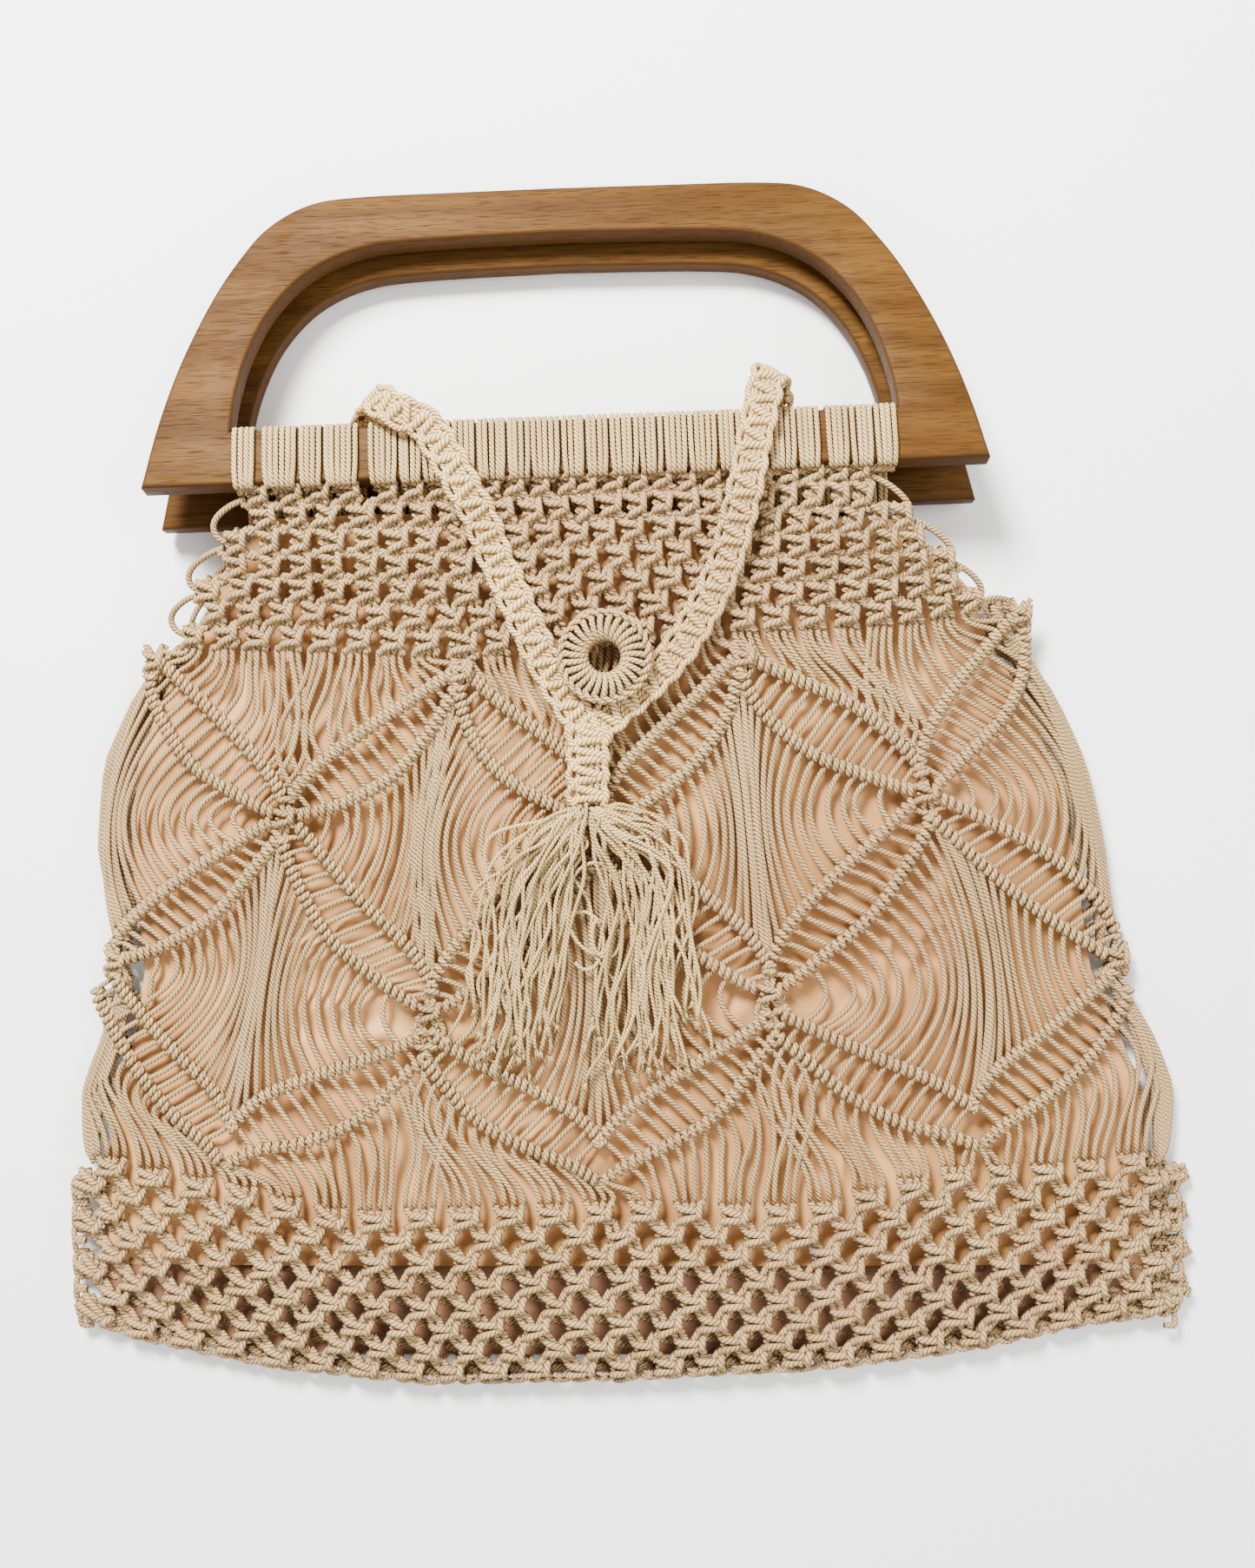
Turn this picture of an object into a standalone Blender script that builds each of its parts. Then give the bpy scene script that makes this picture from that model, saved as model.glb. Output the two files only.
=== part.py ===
"""Hand-knotted cord handbag with two wooden handles, lying on its back.

Metres, +Z up, +Y from the bag's base to its handles. The back panel lies on the floor and the
front panel domes over a satin pouch. All plan places are shares of the named sizes.
"""

import math

import bmesh
import bpy
import numpy as np
from mathutils import Matrix, Vector

# Driving sizes
BAG_WIDTH = 0.417
BODY_LENGTH = 0.331
WALL = 0.003
GAP = 0.0003
LINING_WALL = 0.001

# Handles
HANDLE_HALF_WIDTH = 0.1505
HANDLE_HEIGHT = 0.1105
HANDLE_THICKNESS = 0.0095
HANDLE_EDGE = 0.0014
BAR_HEIGHT = 0.0200
OPENING_HALF_WIDTH = 0.1190
RAIL_HEIGHT = 0.0180
HANDLE_TURN = math.radians(2.16)
HANDLE_SHIFT = -0.0218
BAR_LEVEL = 0.1096
BACK_SLIDE = 0.0102
MOUTH_GAP = 0.0100
CORD = 0.0022
BUNDLES = 18

# Panel heights above the floor
EDGE_LIFT = 0.0020

# Strap, button and tassel
STRAP_WIDTH = 0.0122
STRAP_THICKNESS = 0.0036
NECK_WIDTH = 0.0145
NECK_THICKNESS = 0.0085
RING_OUTER = 0.0335
RING_HOLE = 0.0110
RING_THICKNESS = 0.0075
RING_SINK = 0.0005
LOCK_WIDTH = 0.0110
LOCK_THICKNESS = 0.0044

# Half of the board's outside: share of the half width, share of the height
BOARD_OUTSIDE = (
    ("foot", 1.000, 0.000),
    ("side", 0.962, 0.215),
    ("side", 0.909, 0.430),
    ("side", 0.838, 0.640),
    ("shoulder", 0.772, 0.785),
    ("shoulder", 0.705, 0.893),
    ("corner", 0.612, 0.968),
    ("rail", 0.500, 0.993),
    ("rail", 0.250, 0.998),
    ("crest", 0.000, 1.000),
)

# Half of the hand opening: share of the opening's half width, share of the opening's height
BOARD_INSIDE = (
    ("corner", 1.000, 0.000),
    ("side", 0.984, 0.200),
    ("side", 0.944, 0.430),
    ("shoulder", 0.872, 0.655),
    ("shoulder", 0.760, 0.840),
    ("rail", 0.610, 0.950),
    ("rail", 0.420, 0.985),
    ("crest", 0.000, 1.000),
)

# Side outline: distance down as a share of the body's length, then left and right shares of the
# half width, the height of the free edge as a share of the way up to the bar, and the dome's share
SIDES = (
    ("bar", 0.000, -0.690, 0.475, 1.00, 1.00),
    ("slit", 0.050, -0.729, 0.585, 0.74, 1.00),
    ("slit", 0.110, -0.803, 0.675, 0.30, 0.98),
    ("slit end", 0.167, -0.837, 0.714, 0.08, 0.95),
    ("fold", 0.225, -0.896, 0.775, 0.00, 0.91),
    ("swell", 0.300, -0.941, 0.825, 0.00, 0.87),
    ("swell", 0.400, -0.955, 0.865, 0.00, 0.78),
    ("waist", 0.530, -0.930, 0.895, 0.00, 0.56),
    ("base", 0.605, -0.945, 0.948, 0.00, 0.47),
    ("base", 0.665, -0.980, 0.982, 0.00, 0.42),
    ("base", 0.760, -0.999, 0.993, 0.00, 0.37),
    ("corner", 0.900, -0.995, 0.999, 0.00, 0.32),
    ("hem", 1.000, -0.960, 0.960, 0.00, 0.26),
)

# Bottom outline: share of the half width, distance down as a share of the body's length
HEM = (
    ("corner", -0.995, 0.900),
    ("corner", -0.960, 0.930),
    ("left", -0.857, 0.953),
    ("left", -0.610, 0.984),
    ("low", -0.360, 1.000),
    ("middle", 0.000, 0.996),
    ("right", 0.385, 0.982),
    ("right", 0.634, 0.960),
    ("right", 0.820, 0.934),
    ("corner", 0.960, 0.924),
    ("corner", 0.999, 0.900),
)

# Satin pouch: how far it stands in from the sides, its hem's distance down, and its soft gathers
POUCH_INSET = 0.014
POUCH_HEM = 0.865
POUCH_CLEAR = 0.0016
POUCH_COLUMNS = 14
POUCH_ROWS = 7
GATHERS = 7
GATHER_DEPTH = 0.0014

# Edges of the two knotted bands: distance down at the left, middle and right
BAND_EDGE = (0.178, 0.189, 0.128)
BASE_EDGE = (0.752, 0.805, 0.752)

# Knots where the leaves meet: half column along the panel (0 to 6), across, down. The knots of half
# columns 0 and 6 lie beside the cords of the side folds, so only their distance down is given.
PEAKS = (
    (0, None, 0.200),
    (2, -0.289, 0.213),
    (4, 0.198, 0.200),
    (6, None, 0.160),
)
UPPER_STARS = (
    (1, -0.598, 0.363),
    (3, -0.041, 0.369),
    (5, 0.522, 0.335),
)
LOWER_STARS = (
    (0, None, 0.517),
    (2, -0.347, 0.578),
    (4, 0.250, 0.556),
    (6, None, 0.527),
)
FEET = (
    (1, -0.708, 0.724),
    (3, -0.049, 0.740),
    (5, 0.621, 0.702),
)
LEAF_HALF_WIDTH = 0.0092
LEAF_TIP = 0.0026
LEAF_STEPS = 6
LEAF_HOLLOW = 0.0011
STAR_RADIUS = 0.0058
COLUMN_STEPS = 8
STRAND_STEPS = 3
FOLD_STRIP = 0.0110

# Loose cords round a star: which step of the leaf they leave, and how far they bow out
STRANDS = ((1, 0.006), (3, 0.005))

# Strap branches: across, down, what it lies on, lift of the strap's middle above that
LEFT_BRANCH = (
    (-0.466, -0.020, "back bar", 0.0000),
    (-0.462, -0.050, "back bar", 0.0008),
    (-0.452, -0.081, "back bar", 0.0075),
    (-0.432, -0.090, "back bar", 0.0180),
    (-0.395, -0.074, "bar", 0.0018),
    (-0.345, -0.060, "bar", 0.0006),
    (-0.300, -0.018, "bar", 0.0006),
    (-0.278, 0.008, "bar", -0.0004),
    (-0.250, 0.040, "panel", 0.0032),
    (-0.222, 0.085, "panel", 0.0000),
    (-0.188, 0.130, "panel", 0.0000),
    (-0.155, 0.176, "panel", 0.0000),
    (-0.124, 0.212, "panel", 0.0000),
    (-0.096, 0.240, "panel", 0.0008),
    (-0.078, 0.262, "panel", 0.0016),
    (-0.070, 0.280, "panel", 0.0020),
)
RIGHT_BRANCH = (
    (0.262, -0.036, "back bar", 0.0000),
    (0.262, -0.068, "back bar", 0.0008),
    (0.256, -0.100, "back bar", 0.0070),
    (0.246, -0.117, "back bar", 0.0160),
    (0.236, -0.110, "back bar", 0.0225),
    (0.226, -0.080, "bar", 0.0016),
    (0.208, -0.028, "bar", 0.0006),
    (0.200, 0.000, "bar", 0.0004),
    (0.187, 0.036, "panel", 0.0040),
    (0.163, 0.090, "panel", 0.0000),
    (0.130, 0.135, "panel", 0.0000),
    (0.085, 0.180, "panel", 0.0000),
    (0.030, 0.218, "panel", 0.0000),
    (-0.020, 0.244, "panel", 0.0008),
    (-0.052, 0.264, "panel", 0.0016),
    (-0.062, 0.280, "panel", 0.0020),
)
NECK = (
    (-0.066, 0.262, "panel", 0.0000),
    (-0.067, 0.295, "panel", 0.0000),
    (-0.069, 0.328, "panel", 0.0000),
)
RING_PLACE = (-0.039, 0.188)

HEAD = (
    (-0.069, 0.330, "panel", 0.0000),
    (-0.068, 0.345, "panel", 0.0000),
    (-0.066, 0.362, "panel", 0.0000),
)

# Tassel locks: across and down at the bend, then at the tip
LOCKS = (
    ("left outer", -0.225, 0.425, -0.265, 0.590),
    ("left", -0.180, 0.430, -0.212, 0.606),
    ("left inner", -0.138, 0.435, -0.160, 0.618),
    ("left middle", -0.100, 0.440, -0.118, 0.596),
    ("right middle", -0.030, 0.440, -0.034, 0.592),
    ("right inner", 0.016, 0.435, 0.020, 0.618),
    ("right", 0.058, 0.430, 0.072, 0.618),
    ("right outer", 0.100, 0.420, 0.122, 0.586),
)

HALF_WIDTH = BAG_WIDTH / 2
WRAP = GAP + CORD
SLEEVE_HALF = HANDLE_THICKNESS / 2 + WRAP
BACK_TILT = math.asin(WRAP / (HANDLE_HEIGHT - BAR_HEIGHT - WRAP))
BAR_CENTRE_BACK = SLEEVE_HALF + (BAR_HEIGHT / 2 + WRAP) * math.sin(BACK_TILT)
BAR_CENTRE_FRONT = BAR_CENTRE_BACK + 2 * SLEEVE_HALF + MOUTH_GAP
FRONT_TILT = math.asin(
    (BAR_CENTRE_FRONT - 1.5 * HANDLE_THICKNESS - GAP)
    / (HANDLE_HEIGHT - BACK_SLIDE - BAR_HEIGHT / 2)
)
BAR_FOOT_FRONT = BAR_CENTRE_FRONT + (BAR_HEIGHT / 2 + WRAP) * math.sin(FRONT_TILT)
PANEL_EDGE = EDGE_LIFT + 2 * WALL + GAP

def smooth(points, steps):
    """Points on a smooth curve through the given ones, steps to each stretch."""
    given = [np.array(p, float) for p in points]
    ends = [2 * given[0] - given[1]] + given + [2 * given[-1] - given[-2]]
    out = []
    for a, b, c, d in zip(ends, ends[1:], ends[2:], ends[3:]):
        for k in range(steps):
            t = k / steps
            out.append(
                0.5 * (2 * b + (c - a) * t + (2 * a - 5 * b + 4 * c - d) * t * t
                       + (3 * b - a - 3 * c + d) * t ** 3)
            )
    return out + [given[-1]]


def new_object(name, mesh_maker, colour, roughness):
    """A named object with its own material, from a function that fills a bmesh."""
    bm = bmesh.new()
    mesh_maker(bm)
    bmesh.ops.remove_doubles(bm, verts=bm.verts, dist=1e-6)
    bmesh.ops.recalc_face_normals(bm, faces=bm.faces)
    mesh = bpy.data.meshes.new(name)
    bm.to_mesh(mesh)
    bm.free()
    material = bpy.data.materials.new(name)
    material.use_nodes = True
    shader = material.node_tree.nodes["Principled BSDF"]
    shader.inputs["Base Color"].default_value = (*colour, 1)
    shader.inputs["Roughness"].default_value = roughness
    shader.inputs["Metallic"].default_value = 0
    mesh.materials.append(material)
    mesh.shade_smooth()
    mesh.set_sharp_from_angle(angle=math.radians(40))
    obj = bpy.data.objects.new(name, mesh)
    bpy.context.scene.collection.objects.link(obj)
    return obj


def cut_away(obj, cutter):
    """Takes the cutter's volume out of the object."""
    cutter.hide_render = True
    cutter.display_type = "WIRE"
    boolean = obj.modifiers.new(cutter.name, "BOOLEAN")
    boolean.operation = "DIFFERENCE"
    boolean.object = cutter


def fuse(obj, other):
    """Fuses the object's own overlapping shells and another object into one body."""
    other.hide_render = True
    other.display_type = "WIRE"
    boolean = obj.modifiers.new(other.name, "BOOLEAN")
    boolean.operation = "UNION"
    boolean.use_self = True
    boolean.object = other


def column(rows, index, at):
    """One column of a table, read between its rows."""
    return float(np.interp(at, [r[1] for r in rows], [r[index] for r in rows]))


def plan(across, down):
    """Plan place of a pair of shares."""
    return np.array([across * HALF_WIDTH, BAR_LEVEL - WRAP - down * BODY_LENGTH])


def down_of(y):
    return (BAR_LEVEL - WRAP - y) / BODY_LENGTH


def hem_y(x):
    """Plan y of the bag's bottom outline."""
    return plan(0, column(HEM, 2, x / HALF_WIDTH))[1]


def bulge(x, y):
    """0 at the bag's sides and bottom, 1 along its middle."""
    down = down_of(y)
    left = column(SIDES, 2, down) * HALF_WIDTH
    right = column(SIDES, 3, down) * HALF_WIDTH
    s = min(1.0, abs(2 * x - left - right) / (right - left))
    d = min(1.0, max(0.0, (y - hem_y(x)) / (0.14 * BODY_LENGTH)))
    return (1 - s ** 3) * (1 - (1 - d) ** 3)


def front_top(x, y):
    """Height of the front panel's outer face."""
    down = down_of(y)
    rise = BAR_FOOT_FRONT + WALL / 2 - PANEL_EDGE
    edge = PANEL_EDGE + rise * column(SIDES, 4, down)
    crown = PANEL_EDGE + rise * column(SIDES, 5, down)
    return edge + max(0.0, crown - edge) * bulge(x, y)


def back_top(x, y):
    """Height of the back panel's inner face."""
    return WALL + EDGE_LIFT * (1 - bulge(x, y)) ** 2


def handle_matrix(back):
    """Place of a handle: its own X runs along the bar, its Y up to the rail, its Z is its face."""
    tilt = BACK_TILT if back else FRONT_TILT
    centre = BAR_CENTRE_BACK if back else BAR_CENTRE_FRONT
    lift = centre + BAR_HEIGHT / 2 * math.sin(tilt)
    y = BAR_LEVEL - (BACK_SLIDE if back else 0)
    place = Matrix.Translation((HANDLE_SHIFT, y, lift))
    return place @ Matrix.Rotation(HANDLE_TURN, 4, "Z") @ Matrix.Rotation(-tilt, 4, "X")


def board_loop(rows, half_width, low, height, steps):
    half = [(half_width * a, low + height * u) for _, a, u in rows]
    curve = smooth(half, steps)
    return [tuple(p) for p in curve] + [(-p[0], p[1]) for p in reversed(curve[:-1])]


def make_handle(name, back, colour):
    """A D-shaped board with a hand opening, its edges eased."""
    outside = board_loop(BOARD_OUTSIDE, HANDLE_HALF_WIDTH, 0, HANDLE_HEIGHT, 2)
    opening = HANDLE_HEIGHT - RAIL_HEIGHT - BAR_HEIGHT
    inside = board_loop(BOARD_INSIDE, OPENING_HALF_WIDTH, BAR_HEIGHT, opening, 2)

    def fill(bm):
        edges = []
        for loop in (outside, inside):
            verts = [bm.verts.new((x, y, -HANDLE_THICKNESS / 2)) for x, y in loop]
            edges += [bm.edges.new(pair) for pair in zip(verts, verts[1:] + verts[:1])]
        bmesh.ops.triangle_fill(bm, use_beauty=True, edges=edges)
        made = bmesh.ops.extrude_face_region(bm, geom=bm.faces[:])
        moved = [g for g in made["geom"] if isinstance(g, bmesh.types.BMVert)]
        bmesh.ops.translate(bm, verts=moved, vec=(0, 0, HANDLE_THICKNESS))
        bmesh.ops.recalc_face_normals(bm, faces=bm.faces)
        bmesh.ops.dissolve_limit(
            bm, angle_limit=0.01, verts=bm.verts, edges=bm.edges, delimit={"NORMAL"}
        )
        rims = [e for e in bm.edges if len(e.link_faces) == 2 and e.calc_face_angle(0) > 1.2
                and abs(e.verts[0].co.z - e.verts[1].co.z) < 1e-6]
        bmesh.ops.bevel(bm, geom=rims, offset=HANDLE_EDGE, segments=1, affect="EDGES")
        bmesh.ops.triangulate(bm, faces=bm.faces)
        bmesh.ops.transform(bm, matrix=handle_matrix(back), verts=bm.verts)

    return new_object(name, fill, colour, 0.5)


def tube(bm, rings):
    """A closed skin over rings of the same number of points, capped at both ends."""
    made = [[bm.verts.new(p) for p in ring] for ring in rings]
    for a, b in zip(made, made[1:]):
        for i in range(len(a)):
            j = (i + 1) % len(a)
            bm.faces.new((a[i], a[j], b[j], b[i]))
    bm.faces.new(list(reversed(made[0])))
    bm.faces.new(made[-1])


def make_bar_wrap(name, back, colour):
    """Cord wound round the bar in bundles, as a sleeve with a groove between bundles."""
    half = OPENING_HALF_WIDTH - 3 * GAP
    groove = CORD * 0.45
    matrix = handle_matrix(back)

    def section(x, grow):
        up = BAR_HEIGHT / 2 + GAP + grow
        out = HANDLE_THICKNESS / 2 + GAP + grow
        ease = min(out, up) * 0.35 if grow > 0 else 0.0
        corners = ((1, 1), (-1, 1), (-1, -1), (1, -1))
        ring = []
        for turn, (a, b) in enumerate(corners):
            pair = [(a * (out - ease), b * up), (a * out, b * (up - ease))]
            ring += pair if turn % 2 else pair[::-1]
        return [matrix @ Vector((x, BAR_HEIGHT / 2 + q, p)) for p, q in ring]

    def fill(bm):
        pitch = 2 * half / BUNDLES
        outer = []
        for k in range(BUNDLES):
            start = -half + k * pitch
            low = CORD - groove
            if k == 0:
                outer.append(section(start, low))
            outer.append(section(start + 0.16 * pitch, CORD))
            outer.append(section(start + 0.84 * pitch, CORD))
            outer.append(section(start + pitch, low))
        inner = [section(half, 1e-5), section(-half, 1e-5)]
        made = [[bm.verts.new(p) for p in ring] for ring in outer + inner]
        for a, b in zip(made, made[1:] + made[:1]):
            for i in range(len(a)):
                j = (i + 1) % len(a)
                bm.faces.new((a[i], a[j], b[j], b[i]))

    return new_object(name, fill, colour, 0.9)


class Net:
    """A flat pattern of faces in plan, welded where they share points."""

    def __init__(self):
        self.points = []
        self.index = {}
        self.faces = []
        self.sunk = set()

    def point(self, p):
        key = (round(float(p[0]), 6), round(float(p[1]), 6))
        if key not in self.index:
            self.index[key] = len(self.points)
            self.points.append(key)
        return self.index[key]

    def face(self, *corners):
        ring = []
        for corner in corners:
            i = self.point(corner)
            if i not in ring:
                ring.append(i)
        if len(ring) > 2:
            self.faces.append(ring)

    def band(self, top, bottom, rows):
        """Quads between two lines with the same number of points."""
        for r in range(rows):
            a, b = r / rows, (r + 1) / rows
            high = [p + (q - p) * a for p, q in zip(top, bottom)]
            low = [p + (q - p) * b for p, q in zip(top, bottom)]
            for i in range(len(top) - 1):
                self.face(high[i], high[i + 1], low[i + 1], low[i])

    def strand(self, start, end, bow, steps):
        """A strip of loose cords from one short edge to another, bowed sideways in its middle."""
        sides = []
        for a, b in zip(start, end):
            sides.append([a + (b - a) * k / steps + np.array([bow, 0]) * math.sin(math.pi * k / steps)
                          for k in range(steps + 1)])
        for k in range(steps):
            self.face(sides[0][k], sides[1][k], sides[1][k + 1], sides[0][k + 1])


class Leaf:
    """A knotted leaf between two knots: its two bars, with a sunk row of cords between them."""

    def __init__(self, net, start, end, ribbed):
        start, end = np.array(start), np.array(end)
        along = (end - start) / np.linalg.norm(end - start)
        side = np.array([along[1], -along[0]])
        side = side if side[1] > 0 else -side
        first, last = start + along * STAR_RADIUS, end - along * STAR_RADIUS
        self.high, self.low, self.middle = [], [], []
        for k in range(LEAF_STEPS + 1):
            share = k / LEAF_STEPS
            half = LEAF_TIP + (LEAF_HALF_WIDTH - LEAF_TIP) * math.sin(math.pi * share) ** 0.8
            centre = first + (last - first) * share
            self.high.append(centre + side * half)
            self.low.append(centre - side * half)
            self.middle.append(centre)
        for k in range(LEAF_STEPS):
            if not ribbed:
                net.face(self.high[k], self.high[k + 1], self.low[k + 1], self.low[k])
                continue
            net.face(self.high[k], self.high[k + 1], self.middle[k + 1], self.middle[k])
            net.face(self.middle[k], self.middle[k + 1], self.low[k + 1], self.low[k])
        if ribbed:
            net.sunk |= {net.point(p) for p in self.middle[1:-1]}

    def edge(self, upper, k):
        line = self.high if upper else self.low
        return line[k], line[k + 1]

    def tip(self, at_end, ribbed):
        """The leaf's short end edge, from its upper bar to its lower one."""
        k = -1 if at_end else 0
        return [self.high[k]] + ([self.middle[k]] if ribbed else []) + [self.low[k]]


def side_point(side, down):
    """A point on the side outline: side 2 is the left column of the table, 3 the right one."""
    return plan(column(SIDES, side, down), down)


def star_place(column_number, across, down):
    """Plan place of a knot; one beside a side fold stands just inside the fold's cords."""
    if across is not None:
        return plan(across, down)
    side, inner = (2, 1) if column_number == 0 else (3, -1)
    return side_point(side, down) + np.array([inner * (FOLD_STRIP + LEAF_TIP), 0])


def level(downs):
    """Points along a band's edge, COLUMN_STEPS to each column of the pattern."""
    left, middle, right = downs
    a, b = side_point(2, left), side_point(3, right)
    out = []
    for k in range(3 * COLUMN_STEPS + 1):
        share = k / (3 * COLUMN_STEPS)
        s = 2 * share - 1
        edge = left + (right - left) * share
        sag = (middle - (left + right) / 2) * (1 - s * s)
        p = a + (b - a) * share
        p[1] = plan(0, edge + sag)[1]
        out.append(p)
    return out


def bar_edge(back):
    """The line where a panel's first knots hang from the bar's sleeve."""
    matrix = handle_matrix(back)
    reach = OPENING_HALF_WIDTH - 3 * GAP
    out = []
    for k in range(3 * COLUMN_STEPS + 1):
        x = reach * (2 * k / (3 * COLUMN_STEPS) - 1)
        p = matrix @ Vector((x, -WRAP - 3 * GAP, 0))
        out.append(np.array([p.x, p.y]))
    return out


def hem_line():
    left, right = HEM[0][1], HEM[-1][1]
    out = []
    for k in range(3 * COLUMN_STEPS + 1):
        x = (left + (right - left) * k / (3 * COLUMN_STEPS)) * HALF_WIDTH
        out.append(np.array([x, hem_y(x)]))
    return out


def panel_net(back):
    """The plan pattern of one panel: band, leaves, loose strands and base."""
    ribbed = not back
    net = Net()
    top, band = bar_edge(back), level(BAND_EDGE)
    base, hem = level(BASE_EDGE), hem_line()
    net.band(top, band, 3)
    net.band(base, hem, 4)
    peaks, upper, lower, feet = (
        {row[0]: star_place(*row) for row in table}
        for table in (PEAKS, UPPER_STARS, LOWER_STARS, FEET)
    )
    leaves = {}
    for rows in ((peaks, upper), (upper, lower), (lower, feet)):
        for c, p in rows[0].items():
            for e in (c - 1, c + 1):
                if e in rows[1]:
                    leaves[id(rows[0]), c, e] = Leaf(net, p, rows[1][e], ribbed)

    def leaf(row, c, e):
        return leaves.get((id(row), c, e))

    # Knots at the peaks hang from the band, and those at the feet stand on the base
    for row, line, going_down in ((peaks, band, True), (feet, base, False)):
        for c in row:
            i = c * COLUMN_STEPS // 2
            near = [line[j] for j in (i - 1, i, i + 1) if 0 <= j < len(line)]
            if going_down:
                left, right = leaf(row, c, c - 1), leaf(row, c, c + 1)
                tips = (right.tip(False, ribbed) if right else []) + (
                    left.tip(False, ribbed)[::-1] if left else [])
                net.face(*(near + tips))
            else:
                left, right = leaf(lower, c - 1, c), leaf(lower, c + 1, c)
                tips = right.tip(True, ribbed)[::-1] + left.tip(True, ribbed)
                net.face(*(near + tips))
    for c in upper:
        ring = leaf(peaks, c + 1, c).tip(True, ribbed) + leaf(upper, c, c + 1).tip(False, ribbed)
        ring += leaf(upper, c, c - 1).tip(False, ribbed)[::-1]
        ring += leaf(peaks, c - 1, c).tip(True, ribbed)[::-1]
        net.face(*ring)
    for c in (2, 4):
        ring = leaf(upper, c + 1, c).tip(True, ribbed) + leaf(lower, c, c + 1).tip(False, ribbed)
        ring += leaf(lower, c, c - 1).tip(False, ribbed)[::-1]
        ring += leaf(upper, c - 1, c).tip(True, ribbed)[::-1]
        net.face(*ring)

    # Loose cords between the band and the first leaves, and between the last leaves and the base
    for c in upper:
        i = c * COLUMN_STEPS // 2
        for towards, spots in ((-1, ((3, 3), (1, 1))), (1, ((3, 3), (1, 1)))):
            side_leaf = leaf(peaks, c + towards, c)
            for step, k in spots:
                a, b = side_leaf.edge(True, step)
                j = i + towards * (4 - step) // 1
                pair = (band[j], band[j - towards])
                net.strand((a, b), pair, 0.0, 2)
    for c in lower:
        i = c * COLUMN_STEPS // 2
        for towards in (-1, 1):
            side_leaf = leaf(lower, c, c + towards)
            if side_leaf is None:
                continue
            for step in (3,) if c in (0, 6) else (1, 3):
                a, b = side_leaf.edge(False, step)
                j = i + towards * (step - 1)
                pair = (base[j], base[j + towards])
                net.strand((a, b), pair, 0.0, 2)

    # Loose cords round each star, from a leaf above it to the leaf below it
    for above, row, below in ((peaks, upper, lower), (upper, lower, feet)):
        for c in row:
            for towards in (-1, 1):
                high = leaf(above, c + towards, c)
                down = leaf(row, c, c + towards)
                if high is None or down is None:
                    continue
                for far, bow in STRANDS:
                    a, b = high.edge(False, far)
                    e, f = down.edge(True, LEAF_STEPS - 1 - far)
                    if c + towards in (0, 6) and far == 1:
                        continue
                    net.strand((a, b), (f, e), bow * towards, STRAND_STEPS)

    # Cords gathered along each side fold
    for side, c, inner in ((2, 0, 1), (3, 6, -1)):
        stops = (
            (peaks[c], leaf(peaks, c, c + inner), True),
            (lower[c], leaf(lower, c, c + inner), True),
        )
        star = lower[c]
        above = leaf(upper, c + inner, c)
        below = stops[1][1]
        start = side_point(side, BAND_EDGE[0 if c == 0 else 2])
        line = fold_line(side, down_of(start[1]), down_of(star[1]) - 0.03, 6)
        edge_in = [p + np.array([inner * FOLD_STRIP, 0]) for p in line]
        first = stops[0][1].tip(False, ribbed)
        band_end = band[0] if c == 0 else band[-1]
        band_next = band[1] if c == 0 else band[-2]
        net.faces.pop(net.faces.index(peak_face(net, band_end, band_next, first)))
        net.face(band_end, band_next, *first, edge_in[1], line[1])
        for k in range(1, 6):
            net.face(line[k], edge_in[k], edge_in[k + 1], line[k + 1])
        tip_above = above.tip(True, ribbed)
        tip_below = below.tip(False, ribbed)
        low_line = fold_line(side, down_of(star[1]) + 0.03, BASE_EDGE[0 if c == 0 else 2], 4)
        low_in = [p + np.array([inner * FOLD_STRIP, 0]) for p in low_line]
        base_next = base[1] if c == 0 else base[-2]
        low_in[-1] = base_next
        low_line[-1] = base[0] if c == 0 else base[-1]
        net.face(line[-1], edge_in[-1], *tip_above, *tip_below, low_in[0], low_line[0])
        for k in range(4):
            net.face(low_line[k], low_in[k], low_in[k + 1], low_line[k + 1])
    return net


def peak_face(net, band_end, band_next, tip):
    """The face that was laid over an outermost peak, before the fold's cords join it."""
    wanted = {net.point(p) for p in (band_end, band_next, *tip)}
    return next(f for f in net.faces if set(f) == wanted)


def fold_line(side, top, bottom, steps):
    return [side_point(side, top + (bottom - top) * k / steps) for k in range(steps + 1)]


def make_panel(name, back, colour):
    """One knotted panel, WALL thick, cut through between its loose cords."""
    height = back_top if back else front_top

    def fill(bm):
        net = panel_net(back)
        verts = []
        for i, (x, y) in enumerate(net.points):
            z = height(x, y) - (LEAF_HOLLOW if i in net.sunk else 0)
            verts.append(bm.verts.new((x, y, z)))
        for ring in net.faces:
            bm.faces.new([verts[i] for i in ring])
        bmesh.ops.recalc_face_normals(bm, faces=bm.faces)
        made = bmesh.ops.extrude_face_region(bm, geom=bm.faces[:])
        lower = [g for g in made["geom"] if isinstance(g, bmesh.types.BMVert)]
        for v in lower:
            v.co.z = height(v.co.x, v.co.y) - WALL
        bmesh.ops.triangulate(bm, faces=bm.faces)

    return new_object(name, fill, colour, 0.9)


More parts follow.
